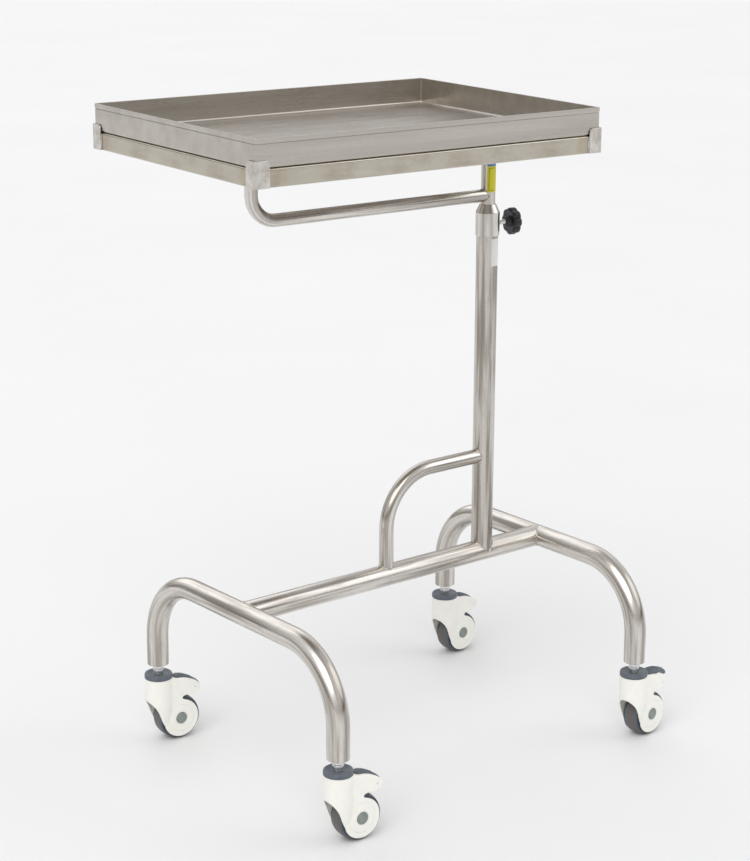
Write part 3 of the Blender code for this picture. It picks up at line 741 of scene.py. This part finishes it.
def make_collar():
    bottom, top = low("collar"), high("collar")
    outer = (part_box("collar")[1].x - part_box("collar")[0].x) / 2
    shoulder, neck = 0.9305, 0.0141
    outline = [
        (POST_R + 0.0002, bottom + 0.002),
        (TUBE_R - 0.001, bottom, 0.0),
        (outer, bottom, 0.0009),
        (outer, shoulder, 0.0030),
        (neck, top, 0.0007),
        (POST_R + 0.0002, top, 0.0002),
    ]
    steel("collar_turned", lathe_mesh(outline, 96), "collar", "base", COLUMN, "collar")


# ---------------------------------------------------------------- post, arm and tray


def make_post_and_arm():
    top = FRAME_BOTTOM_Z + 0.0005
    post = tube_mesh([(0, 0, low("inner_post")), (0, 0, 0.7), (0, 0, top)], POST_R, POST_WALL)
    steel("post_tube", post, "post", "tray_support", TRAY, "inner_post")
    corners = [(0, 0, ARM_Z), (-ARM_REACH, 0, ARM_Z), (-ARM_REACH, 0, top)]
    arm = tube_mesh(bent_path(corners, ARM_BEND_R), ARM_R, sides=THIN_ROUND)
    steel("arm_tube", arm, "tube", "tray_support", TRAY, "support_arm")
    loop = saddle(ARM_R, POST_R, (-1, 0, 0), (0, 0, 1), (0, 0, ARM_Z))
    steel("weld_arm", bead_mesh(loop, THICK_WELD_R), "weld", "tray_support", TRAY)
    for name, x, radius in (("weld_post_top", 0, POST_R), ("weld_arm_top", -ARM_REACH, ARM_R)):
        turns = [TAU * i / 72 for i in range(72)]
        loop = [(x + radius * math.cos(a), radius * math.sin(a), FRAME_BOTTOM_Z) for a in turns]
        steel(name, bead_mesh(loop, WELD_R), "weld", "tray_support", TRAY)


def make_yellow_label():
    """A yellow label with a frame line and no text, and the end of a blue one above it."""
    left, right = YELLOW_LABEL_TURNS
    bottom, top = YELLOW_LABEL_HEIGHTS
    label = patch_mesh(POST_R, YELLOW_LABEL_TURNS, YELLOW_LABEL_HEIGHTS)
    piece("yellow_label", label, "yellow", "tray_support", COLUMN)
    across = math.degrees(FRAME_LINE_INSET / POST_R)
    thick = math.degrees(FRAME_LINE / POST_R)
    near, far = FRAME_LINE_INSET, FRAME_LINE_INSET + FRAME_LINE
    bars = (
        ((left + across, right - across), (bottom + near, bottom + far)),
        ((left + across, right - across), (top - far, top - near)),
        ((left + across, left + across + thick), (bottom + near, top - near)),
        ((right - across - thick, right - across), (bottom + near, top - near)),
    )
    for i, (turns, heights) in enumerate(bars):
        line = patch_mesh(POST_R, turns, heights, thickness=0.00020)
        piece(f"label_line_{i + 1}", line, "ink", "tray_support", COLUMN)
    strip = patch_mesh(POST_R, YELLOW_LABEL_TURNS, (top, top + BLUE_LABEL_H))
    piece("blue_label", strip, "blue", "tray_support", COLUMN)


def rail_section():
    """Across a rail, (sideways, up), with rounded corners."""
    half_w, half_h = RAIL_WIDTH / 2, (FRAME_TOP_Z - FRAME_BOTTOM_Z) / 2
    corners = [(half_w, half_h), (-half_w, half_h), (-half_w, -half_h), (half_w, -half_h)]
    return rounded([(x, z, RAIL_CORNER_R) for x, z in corners], 5)


def rail_mesh(length, mitre, stations=24):
    """A rectangular tube along X, its outer side towards -Y, cut square or mitred at both ends."""
    section = rail_section()
    rings, lengths = [], []
    for i in range(stations + 1):
        share = 2 * i / stations - 1
        ring = []
        for sideways, up in section:
            cut = sideways + RAIL_WIDTH / 2 if mitre else 0
            ring.append(Vector((share * (length / 2 - cut), sideways, up)))
        rings.append(ring)
        lengths.append(length * i / stations)
    round_it = 2 * (RAIL_WIDTH + FRAME_TOP_Z - FRAME_BOTTOM_Z)
    mesh = from_rings(rings, lengths=lengths, radius=round_it / TAU)
    distance = mesh.attributes.new("to_end", "FLOAT", "POINT")
    distance.data.foreach_set("value", [length / 2 - abs(v.co.x) for v in mesh.vertices])
    return mesh


def make_frame():
    middle = (FRAME_TOP_Z + FRAME_BOTTOM_Z) / 2
    half_l, half_w, half_rail = TRAY_LENGTH / 2, TRAY_WIDTH / 2, RAIL_WIDTH / 2
    inner = TRAY_WIDTH - 2 * RAIL_WIDTH
    bars = (
        ("front", "tray_rail_front", TRAY_LENGTH, True, (TRAY_CENTRE, -half_w + half_rail), 0),
        ("back", "tray_rail_back", TRAY_LENGTH, True, (TRAY_CENTRE, half_w - half_rail), 180),
        ("left", "tray_rail_left", TRAY_WIDTH, True, (TRAY_CENTRE - half_l + half_rail, 0), 270),
        ("right", "tray_rail_right", TRAY_WIDTH, True, (TRAY_CENTRE + half_l - half_rail, 0), 90),
        ("arm_cross", "arm_cross_bar", inner, False, (-ARM_REACH, 0), 90),
        ("post_cross", "post_cross_bar", inner, False, (0, 0), 90),
    )
    for name, node, length, mitre, (x, y), turn in bars:
        place = TRAY @ Matrix.Translation((x, y, middle)) @ Matrix.Rotation(math.radians(turn), 4, "Z")
        mesh = rail_mesh(length, mitre)
        piece("rail_" + name, mesh, "rail", "tray_support", place, (node,))


def clip_mesh():
    """A plate folded round a corner, from one flange's free end to the other's, with rounded top corners."""
    height = high("corner_clip_front_left") - FRAME_BOTTOM_Z
    straight = [(CLIP_FLANGE - CLIP_CORNER_R * t / 6, 0.0) for t in range(7)] + [(CLIP_FOLD_R + 0.001, 0.0)]
    fold = arc((CLIP_FOLD_R, CLIP_FOLD_R), CLIP_FOLD_R, 270, 180, 6)
    rings = []
    for x, y in straight + fold + [(y, x) for x, y in reversed(straight)]:
        back = max(0.0, max(x, y) - (CLIP_FLANGE - CLIP_CORNER_R))
        top = height - (CLIP_CORNER_R - math.sqrt(max(0.0, CLIP_CORNER_R**2 - back**2)))
        if x > CLIP_FOLD_R and y <= 0.0:
            inward = Vector((0.0, CLIP_SHEET))
        elif y > CLIP_FOLD_R and x <= 0.0:
            inward = Vector((CLIP_SHEET, 0.0))
        else:
            inward = Vector((CLIP_FOLD_R - x, CLIP_FOLD_R - y)).normalized() * CLIP_SHEET
        ix, iy = x + inward.x, y + inward.y
        rings.append([Vector((x, y, 0)), Vector((x, y, top)), Vector((ix, iy, top)), Vector((ix, iy, 0))])
    return from_rings(rings)


def make_clips():
    out = CLIP_SHEET + 0.0003
    corners = (
        ("front_left", -1, -1, 0),
        ("front_right", 1, -1, 90),
        ("back_right", 1, 1, 180),
        ("back_left", -1, 1, 270),
    )
    seam_h, steps = FRAME_TOP_Z - FRAME_BOTTOM_Z - 0.0022, 24
    for name, side_x, side_y, turn in corners:
        x = TRAY_CENTRE + side_x * (TRAY_LENGTH / 2 + out)
        y = side_y * (TRAY_WIDTH / 2 + out)
        spin = Matrix.Rotation(math.radians(turn), 4, "Z")
        place = TRAY @ Matrix.Translation((x, y, FRAME_BOTTOM_Z)) @ spin
        nodes = ("corner_clip_" + name,)
        clip = piece("clip_" + name, clip_mesh(), "clip", "tray_support", place, nodes)
        soften(clip, 0.0005)
        for tag, spot in (("a", (0.0266, 0.0021)), ("b", (0.0021, 0.0266))):
            line = [(*spot, 0.0008 + seam_h * i / steps) for i in range(steps + 1)]
            seam = bead_mesh(line, CLIP_WELD_R, looped=False)
            piece(f"weld_clip_{name}_{tag}", seam, "weld", "tray_support", place, ())


def rounded_rectangle(half_x, half_y, radius, steps=6):
    points = []
    quarters = ((half_x, half_y, 0), (-half_x, half_y, 90), (-half_x, -half_y, 180), (half_x, -half_y, 270))
    for cx, cy, start in quarters:
        centre = (cx - math.copysign(radius, cx), cy - math.copysign(radius, cy))
        points += arc(centre, radius, start, start + 90, steps)
    return points


def make_tray():
    """The pressed tray: floor, coved walls with tight corners, and a hem folded outwards and down."""
    wall_out, wall_in = TRAY_STEP, TRAY_STEP + 2 * TRAY_SHEET
    floor, inside = TRAY_BOTTOM_Z, TRAY_BOTTOM_Z + TRAY_SHEET
    under = arc((wall_out + TRAY_FILLET, floor + TRAY_FILLET), TRAY_FILLET, 270, 180, 6)
    cove = arc((wall_in + TRAY_FILLET, inside + TRAY_FILLET), TRAY_FILLET, 180, 270, 6)
    fold = TRAY_RIM_Z - TRAY_HEM_H
    groove = [(wall_out, fold - TRAY_GROOVE)]
    groove += [(TRAY_GROOVE_INSET, fold - 0.8 * TRAY_GROOVE), (TRAY_GROOVE_INSET, fold)]
    hem = [(0.0003, fold), (0.0, fold + 0.0004)]
    soft = 0.0007
    rim = arc((soft, TRAY_RIM_Z - soft), soft, 180, 90, 4)
    rim += arc((wall_in - soft, TRAY_RIM_Z - soft), soft, 90, 0, 4)
    profile = [(0.02, floor)] + under + groove + hem + rim + cove + [(0.02, inside)]
    rings = []
    for inset, z in profile:
        radius = max(TIGHT_R, TRAY_CORNER_R - inset) if inset < 0.004 else TIGHT_R + (inset - 0.004) * 0.5
        outline = rounded_rectangle(TRAY_LENGTH / 2 - inset, TRAY_WIDTH / 2 - inset, radius)
        rings.append([Vector((x, y, z)) for x, y in outline])
    mesh = from_rings(rings)
    place = TRAY @ Matrix.Translation((TRAY_CENTRE, 0, 0))
    piece("tray_pressing", mesh, "sheet", "tray", place, ("tray",))


# ---------------------------------------------------------------- clamp


def knob_mesh():
    """A star knob: a plain hub, a dished back, and a rim of eight lobes."""
    profile = (
        (0.0, 0.0042, 0.0), (0.0, 0.0083, 0.0), (0.0006, 0.0089, 0.0), (0.0072, 0.0095, 0.0),
        (0.0085, 0.0110, 0.0), (0.0082, 0.0160, 0.0), (0.0076, 0.0180, 0.15), (0.0080, 0.0212, 0.8),
        (0.0090, 0.0230, 1.0), (0.0105, 0.0237, 1.0), (0.0190, 0.0237, 1.0), (0.0210, 0.0230, 1.0),
        (0.0224, 0.0214, 0.9), (0.0229, 0.0180, 0.5), (0.0231, 0.0100, 0.1), (0.0232, 0.0020, 0.0),
    )  # along the axis, radius, and how deep the lobes are cut
    steps = 24 * KNOB_LOBES
    rings = []
    for x, radius, lobed in profile:
        ring = []
        for i in range(steps):
            turn = TAU * i / steps
            lobe = 1 - abs(math.cos(KNOB_LOBES * turn / 2)) ** 0.7
            r = radius * (1 - 0.15 * lobed * lobe)
            ring.append(Vector((KNOB_X + x, r * math.cos(turn), r * math.sin(turn))))
        rings.append(ring)
    return from_rings(rings)


def thread_mesh(radius, low, high, pitch=THREAD_PITCH, sides=28):
    """A threaded rod along X, its crest running in a helix."""
    steps = round((high - low) / (pitch / 6))
    rings = []
    for i in range(steps + 1):
        x = low + (high - low) * i / steps
        ring = []
        for j in range(sides):
            turn = TAU * j / sides
            phase = (x / pitch - turn / TAU) % 1.0
            r = radius - 0.00055 * abs(2 * phase - 1)
            ring.append(Vector((x, r * math.cos(turn), r * math.sin(turn))))
        rings.append(ring)
    return from_rings(rings)


def make_clamp():
    piece("knob_star", knob_mesh(), "black", "clamp_knob", CLAMP, ("clamp_knob",), 50)
    thread = thread_mesh(0.004, 0.0162, 0.0400)
    piece("screw_thread", thread, "zinc", "clamp_knob", CLAMP, ("clamp_screw",), 70)
    boss = [(0.0048, 0.0185), (0.0074, 0.0185), (0.0068, 0.0222, 0.0006), (0.0048, 0.0222)]
    steel("screw_boss", lathe_mesh(boss, 40, "X"), "weld", "base", CLAMP)


# ---------------------------------------------------------------- casters


def shell_outline():
    """The housing from the side, (trail, height): front edge, top, horn, hooked slot and wheel cover."""
    front = spline([
        (0.0010, 0.0285), (-0.0028, 0.0350), (-0.0056, 0.0415), (-0.0083, 0.0490), (-0.0114, 0.0572),
        (-0.0162, 0.0662), (-0.0228, 0.0748), (-0.0258, 0.0770)], 5)
    top = [(-0.0258, 0.0900), (-0.0258, 0.1172), (0.0150, 0.1172), (0.0222, 0.1160)]
    horn = spline([
        (0.0222, 0.1160), (0.0300, 0.1125), (0.0400, 0.1112), (0.0510, 0.1084), (0.0620, 0.1034),
        (0.0700, 0.0985), (0.0742, 0.0925), (0.0725, 0.0862), (0.0675, 0.0803)], 5)
    slot = [(0.0610, 0.0783), (0.0545, 0.0777), (0.0460, 0.0790)]
    slot += [(0.0400, 0.0784), (0.0370, 0.0755), (0.0385, 0.0727)]
    cover = arc((WHEEL_TRAIL, 0.0375), 0.0343, 72, -160, 50)
    return front + top + horn[:-1] + slot + cover


def helper(mesh):
    return linked("helper", mesh)


def modified(mesh, changes):
    """The mesh after a list of modifiers, each (kind, settings)."""
    made = helper(mesh)
    for i, (kind, settings) in enumerate(changes):
        change = made.modifiers.new(f"change_{i}", kind)
        for key, value in settings.items():
            setattr(change, key, value)
    bpy.context.view_layer.update()
    result = bpy.data.meshes.new_from_object(made.evaluated_get(bpy.context.evaluated_depsgraph_get()))
    bpy.data.objects.remove(made)
    return result


def boolean(other, operation):
    return ("BOOLEAN", {"object": other, "operation": operation, "solver": "EXACT"})


def body_profile(inset):
    """The turned front of the housing, (radius, height), narrowing downwards into the wheel covers."""
    narrowing = (
        (0.0245, 0.0700), (0.0240, 0.0600), (0.0229, 0.0500),
        (0.0217, 0.0420), (0.0205, 0.0350), (0.0195, 0.0270),
    )
    return [(radius - inset, height) for radius, height in narrowing]


def shell_mesh():
    """The housing: a turned body that narrows into two wheel covers.

    It is trimmed to its side outline, hollowed, opened for the pedal and the stem, and softened. Last, a round
    recess for the cover disc is cut into each side.
    """
    outline = shell_outline()
    body = lathe_mesh([(0, 0.1170), (BODY_R, 0.1170)] + body_profile(0.0) + [(0, 0.0270)], 96)
    trim = helper(plate_mesh(outline, -0.03, 0.03, "Y"))
    cheeks = helper(plate_mesh(outline, -CHEEK, CHEEK, "Y"))
    plan = arc((0, 0), BODY_R, 90, 270, 40) + [(0.08, -BODY_R), (0.08, BODY_R)]
    front = helper(plate_mesh(plan, -0.01, 0.13))
    narrowed = helper(modified(cheeks.data, [boolean(front, "INTERSECT")]))
    wheel_space = [(0.0, -0.01), (0.10, -0.01), (0.10, 0.0795), (0.05, 0.0795), (0.0, 0.0795)]
    cavity = helper(plate_mesh(wheel_space, -CAVITY, CAVITY, "Y"))
    inside = [(0, 0.0788), (BODY_R - SHELL_WALL, 0.0788)] + body_profile(SHELL_WALL)
    hollow = helper(lathe_mesh(inside + [(0.0168, 0.0200), (0, 0.0200)], 96))
    pedal_space = [(0.0262, 0.084), (0.10, 0.070), (0.10, 0.15), (0.0262, 0.15)]
    fork = helper(plate_mesh(pedal_space, -0.0108, 0.0108, "Y"))
    top_hole = helper(lathe_mesh([(0, 0.095), (0.0085, 0.095), (0.0085, 0.13), (0, 0.13)], 40))
    shaped = modified(body, [
        boolean(trim, "INTERSECT"), boolean(narrowed, "UNION"), boolean(hollow, "DIFFERENCE"),
        boolean(cavity, "DIFFERENCE"), boolean(fork, "DIFFERENCE"), boolean(top_hole, "DIFFERENCE"),
        ("REMESH", {"mode": "VOXEL", "voxel_size": SHELL_VOXEL}),
        ("SMOOTH", {"factor": 0.5, "iterations": 14}),
        ("DECIMATE", {"ratio": 0.28}),
    ])
    deep, clear, rim = 0.0186, 0.025, COVER_R + COVER_GAP
    recess = []
    for sign in (1, -1):
        ring = [(0, sign * deep), (rim, sign * deep), (rim, sign * clear), (0, sign * clear)]
        recess.append(helper(lathe_mesh(ring, 96, "Y", (WHEEL_TRAIL, 0, AXLE_Z))))
    cut = modified(shaped, [boolean(tool, "DIFFERENCE") for tool in recess])
    for tool in (trim, cheeks, front, narrowed, cavity, hollow, fork, top_hole, *recess):
        bpy.data.objects.remove(tool)
    return cut


def flipped(outline, sign):
    return [(p[0], sign * p[1], *p[2:]) for p in outline]


def disc_mesh(sign):
    """The round side cover, set into the housing with a fine gap, slightly domed, open for the cap."""
    hollow_r = 0.0108
    outline = [
        (hollow_r, 0.0187), (COVER_R, 0.0187), (COVER_R, 0.0192, 0.0003), (0.0205, 0.01955),
        (0.0150, 0.01985), (hollow_r + 0.0006, 0.01995), (hollow_r, 0.0196)]
    return lathe_mesh(flipped(outline, sign), 96, "Y")


def pedal_back():
    """The crown line of the pedal pressed down, (trail, height), from its nose to its tail."""
    return spline([
        (PEDAL_NOSE_X, 0.1120), (0.0296, 0.1146), (0.0330, 0.1156), (0.0380, 0.1153), (0.0460, 0.1135),
        (0.0530, 0.1106), (0.0600, 0.1070), (0.0670, 0.1029), (0.0730, 0.0988), (0.0777, 0.0946),
        (0.0798, 0.0908), (0.0800, 0.0872), (0.0784, 0.0846)], 5)


def pedal_under():
    return spline([
        (0.0776, 0.0839), (0.0758, 0.0834), (0.0738, 0.0840), (0.0718, 0.0862), (0.0696, 0.0892),
        (0.0668, 0.0925), (0.0630, 0.0957), (0.0560, 0.0990), (0.0440, 0.1022), (0.0340, 0.1050)], 5)


def pedal_drop(y):
    return PEDAL_CROWN * (abs(y) / PEDAL_HALF) ** 2.2


def pedal_side(x, y):
    """The lever narrows a little towards its tail."""
    return y * (1 - 0.24 * max(0.0, (x - 0.055) / 0.026))


def pedal_mesh():
    """The lever: its back crowned across, its sides flat, its tail hooked down."""
    back, under = pedal_back(), pedal_under()[1:]
    rings = []
    steps = 18
    for i in range(steps + 1):
        y = PEDAL_HALF * (2 * i / steps - 1)
        drop = pedal_drop(y)
        line = [(x, z - drop * min(1.0, (k + 1) / 8)) for k, (x, z) in enumerate(back)]
        ring = [Vector((x - PEDAL_X, pedal_side(x, y), z - PEDAL_Z)) for x, z in line + under]
        ring.append(Vector((PEDAL_NOSE_X - PEDAL_X, y, 0.1060 - PEDAL_Z)))
        rings.append(ring)
    return from_rings(rings)


def ridge_mesh(x, z):
    """One low grip ridge across the crowned back of the pedal, ending softly at both sides."""
    reach, steps = 0.0086, 16
    path = []
    for i in range(steps + 1):
        y = reach * (2 * i / steps - 1)
        path.append(Vector((x - PEDAL_X, y, z - PEDAL_Z - pedal_drop(y) - 0.0001)))
    rings = []
    for i, here in enumerate(path_frames(path)):
        share = abs(2 * i / steps - 1)
        rings.append(ring_at(here, 0.00075 * math.sqrt(max(0.02, 1 - share**4)), 0, 12))
    return from_rings(rings)


def nut_mesh():
    """The hexagon on the stem, with chamfered corners."""
    across, bottom, top = 0.0086, 0.1238, 0.1312
    turns = [math.radians(60 * i + 12) for i in range(6)]
    nut = plate_mesh([(across * math.cos(a), across * math.sin(a)) for a in turns], bottom, top)
    outline = [(0, bottom), (0.0073, bottom), (0.0085, bottom + 0.0008)]
    outline += [(0.0085, top - 0.0008), (0.0073, top), (0, top)]
    cone = helper(lathe_mesh(outline, 48))
    cut = modified(nut, [boolean(cone, "INTERSECT")])
    bpy.data.objects.remove(cone)
    return cut


def mirrored(half):
    """A half outline of (radius, offset) points and its mirror image, as one closed outline."""
    return half + flipped(reversed(half), -1)


def tyre_outline():
    shoulder = [(0.0352, 0.0145), (0.0376, 0.0140), (0.0391, 0.0116), (0.0398, 0.0074), (0.0400, 0.0024)]
    return mirrored([(0.0268, 0.0112), (0.0300, 0.0138)] + spline(shoulder, 4))


def core_outline():
    """The wheel's core: a hub, a dished web, a rim, and a thread guard beside the tyre."""
    return mirrored([
        (0.0044, 0.0160), (0.0096, 0.0160, 0.0006), (0.0104, 0.0095), (0.0135, 0.0080), (0.0205, 0.0086),
        (0.0240, 0.0150, 0.0006), (0.0374, 0.0159, 0.0003), (0.0378, 0.0150, 0.0003), (0.0300, 0.0147),
        (0.0267, 0.0112)])


RING = [
    (0.0064, 0.1180), (0.0242, 0.1173), (0.0247, 0.1178), (0.0247, 0.1232, 0.0006), (0.0237, 0.1257, 0.0009),
    (0.0206, 0.1258, 0.0010), (0.0152, 0.1240, 0.0012), (0.0100, 0.1233, 0.0008), (0.0064, 0.1233)]
CAP = [(0.0, 0.0190), (0.0103, 0.0190), (0.0103, 0.0214, 0.0007), (0.0040, 0.02165), (0.0, 0.0217)]
SHAFT = [(0, -0.0195), (0.0040, -0.0195), (0.0040, 0.0195), (0, 0.0195)]
PIN = [(0, -0.0195), (0.0019, -0.0195, 0.0003), (0.0019, 0.0195, 0.0003), (0, 0.0195)]
PIN_X, PIN_Z = 0.0635, 0.091
WASHER = [(0.0062, 0.1312), (0.0096, 0.1312, 0.0003), (0.0096, 0.1330, 0.0003), (0.0062, 0.1330)]
FLANGE = [
    (0.0062, 0.1330), (0.0100, 0.1332, 0.0005), (0.0100, 0.1352, 0.0005), (0.0088, 0.1360), (0.0088, 0.1430),
    (0.0062, 0.1430)]
STEM = [(0, 0.0985), (0.0056, 0.0985, 0.0004), (0.0056, 0.1670, 0.0006), (0, 0.1670)]


def plug_outline():
    """The threaded insert in the leg's end."""
    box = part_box("caster_back_left_socket")
    outer, bottom, top = (box[1].x - box[0].x) / 2, LEG_FOOT_Z + 0.0006, LEG_FOOT_Z + 0.022
    return [(0.0064, bottom), (outer, bottom, 0.0004), (outer, top), (0.0064, top)]


def make_casters():
    shell, pedal, nut = shell_mesh(), pedal_mesh(), nut_mesh()
    for name in CASTERS:
        place = caster_matrix(name)
        axle = place @ Matrix.Translation((WHEEL_TRAIL, 0, AXLE_Z))
        pin = place @ Matrix.Translation((PIN_X, 0, PIN_Z))
        body, wheel = "caster_" + name, "wheel_" + name
        parts = (
            ("shell", shell.copy(), "white", body, place, "yoke", "white_nylon", 50),
            ("cap_ring", lathe_mesh(RING, 80), "grey", body, place, "ring", "grey_plastic", 38),
            ("disc_near", disc_mesh(1), "white", body, axle, None, "white_nylon", 38),
            ("disc_far", disc_mesh(-1), "white", body, axle, None, "white_nylon", 38),
            ("cap_near", lathe_mesh(CAP, 48, "Y"), "cap", body, axle, "axle", "grey_plastic", 38),
            ("cap_far", lathe_mesh(flipped(CAP, -1), 48, "Y"), "cap", body, axle, None, "grey_plastic", 38),
            ("shaft", lathe_mesh(SHAFT, 24, "Y"), "zinc", body, axle, None, "zinc", 38),
            ("pin_dot", lathe_mesh(PIN, 20, "Y"), "zinc", body, pin, "pin", "zinc", 38),
            ("core", lathe_mesh(core_outline(), 72, "Y"), "core", wheel, axle, "wheel", "wheel_core", 38),
            ("tread", lathe_mesh(tyre_outline(), 96, "Y"), "tread", wheel, axle, "tyre", "grey_tread", 38),
            ("stem_rod", lathe_mesh(STEM, 32), "zinc", "base", place, "stem", "zinc", 38),
            ("nut", nut.copy(), "zinc", "base", place, None, "zinc", 25),
            ("washer", lathe_mesh(WASHER, 48), "zinc", "base", place, None, "zinc", 38),
            ("flange", lathe_mesh(FLANGE, 48), "zinc", "base", place, None, "zinc", 38),
            ("plug", lathe_mesh(plug_outline(), 48), "zinc", "base", place, "socket", "zinc", 38),
        )
        for tag, mesh, look, rides, spot, replaced, slot, sharp in parts:
            nodes = (f"{body}_{replaced}",) if replaced else ()
            piece(f"{body}_{tag}", mesh, look, rides, spot, nodes, sharp)
        make_pedal(name, body + "_", pedal)


def make_pedal(name, node, mesh):
    pivot = joint_place("brake_" + name)
    raised = -joint("brake_" + name)["range_deg"][0]
    turn = Matrix.Rotation(-math.radians(raised), 4, "Y")
    place = Matrix.Translation(pivot) @ caster_matrix(name).to_3x3().to_4x4() @ turn
    body, nodes = "pedal_" + name, (node + "pedal",)
    lever = piece(node + "pedal_lever", mesh.copy(), "grey", body, place, nodes)
    soften(lever, 0.0008, 60)
    back = pedal_back()
    for i in range(GRIPS):
        x = GRIP_X + GRIP_STEP * i
        z = next(b + (a - b) * (x - c) / (d - c) for (c, b), (d, a) in zip(back, back[1:]) if c <= x <= d)
        piece(f"{node}grip_{i + 1}", ridge_mesh(x, z), "grey", body, place, ())


# ---------------------------------------------------------------- hidden CAD nodes that stay


def finish_nodes():
    """The post's foot bush and the clamp pad keep their CAD shapes and only get materials."""
    for node, look in (("post_foot_bush", "nylon"), ("clamp_pad", "brass")):
        mesh = frame["nodes"][node].data
        mesh.materials.clear()
        mesh.materials.append(LOOKS[look])


# ---------------------------------------------------------------- stage


def make_floor():
    bm = bmesh.new()
    bmesh.ops.create_grid(bm, x_segments=1, y_segments=1, size=60)
    mesh = to_mesh(bm)
    look = Look("pale_floor", roughness=0.62, Specular_IOR_Level=0.25)
    cloud = look.grain(1.1, 4.0)
    tone = look.mix(look.swing(cloud, 0.0, 1.0), (0.800, 0.800, 0.805), (0.780, 0.782, 0.790))
    mesh.materials.append(look.finish(tone))
    linked("floor", mesh)


def soft_sun(name, toward, strength, angle, colour=(1, 1, 1)):
    """A broad soft light from far off, so that the floor is evenly lit out to the horizon."""
    data = bpy.data.lights.new(name, "SUN")
    data.energy = strength
    data.angle = math.radians(angle)
    data.color = colour
    light = linked(name, data)
    light.rotation_euler = (-Vector(toward)).to_track_quat("-Z", "Y").to_euler()


def make_light():
    """A white room with a dark low skyline, a little uneven all round, and three broad soft lights."""
    world = bpy.data.worlds.new("studio")
    bpy.context.scene.world = world
    world.use_nodes = True
    studio = Nodes(world.node_tree)
    back = studio.tree.nodes["Background"]
    split = studio.node("SeparateXYZ", Vector=studio.node("TexCoord").outputs["Generated"])
    stops = (
        (0.00, (0.40, 0.37, 0.34)), (0.07, (0.22, 0.19, 0.16)), (0.17, (0.80, 0.79, 0.78)),
        (0.55, (1.00, 1.00, 1.00)), (1.00, (0.92, 0.93, 0.95)),
    )
    height = studio.ramp(split.outputs["Z"], stops)
    azimuth = studio.math("ARCTAN2", split.outputs["Y"], split.outputs["X"])
    wave = studio.math("SINE", studio.math("ADD", studio.math("MULTIPLY", azimuth, 2.0), 0.2))
    tint = studio.node("VectorMath")
    tint.operation = "SCALE"
    studio.feed(tint.inputs[0], height)
    studio.feed(tint.inputs["Scale"], studio.span(wave, -1.0, 1.0, 0.86, 1.0))
    studio.feed(back.inputs["Color"], tint.outputs["Vector"])
    back.inputs["Strength"].default_value = 0.88
    soft_sun("key", (-0.75, -0.55, 0.95), 1.15, 50, (1.0, 0.99, 0.97))
    soft_sun("side", (0.9, -0.6, 0.6), 0.45, 40, (0.98, 0.99, 1.0))
    soft_sun("rim", (0.2, 0.9, 0.8), 0.40, 50)


def make_camera():
    """At the viewing angle of a person standing to the left and in front, looking down by sixteen degrees."""
    azimuth, elevation, roll = math.radians(-39.59), math.radians(15.88), math.radians(0.45)
    level = math.cos(elevation)
    back = Vector((math.sin(azimuth) * level, -math.cos(azimuth) * level, math.sin(elevation)))
    right = Vector((math.cos(azimuth), math.sin(azimuth), 0))
    up = back.cross(right)
    across = right * math.cos(roll) + up * math.sin(roll)
    upward = up * math.cos(roll) - right * math.sin(roll)
    place = BASE.translation + Vector((-2.2978, -2.7789, 1.5914))
    turn = Matrix((across, upward, back)).transposed()
    data = bpy.data.cameras.new("camera")
    data.lens = 91.0
    data.sensor_width = 36
    data.shift_x = -0.0277
    data.shift_y = 0.0035
    data.clip_end = 200
    camera = linked("camera", data)
    camera.matrix_world = Matrix.Translation(place) @ turn.to_4x4()
    bpy.context.scene.camera = camera


make_camera()
make_light()
make_floor()
make_legs()
make_beam_and_column()
make_brace()
make_collar()
make_post_and_arm()
make_yellow_label()
make_frame()
make_clips()
make_tray()
make_clamp()
make_casters()
finish_nodes()
bpy.context.scene.view_settings.view_transform = "Standard"
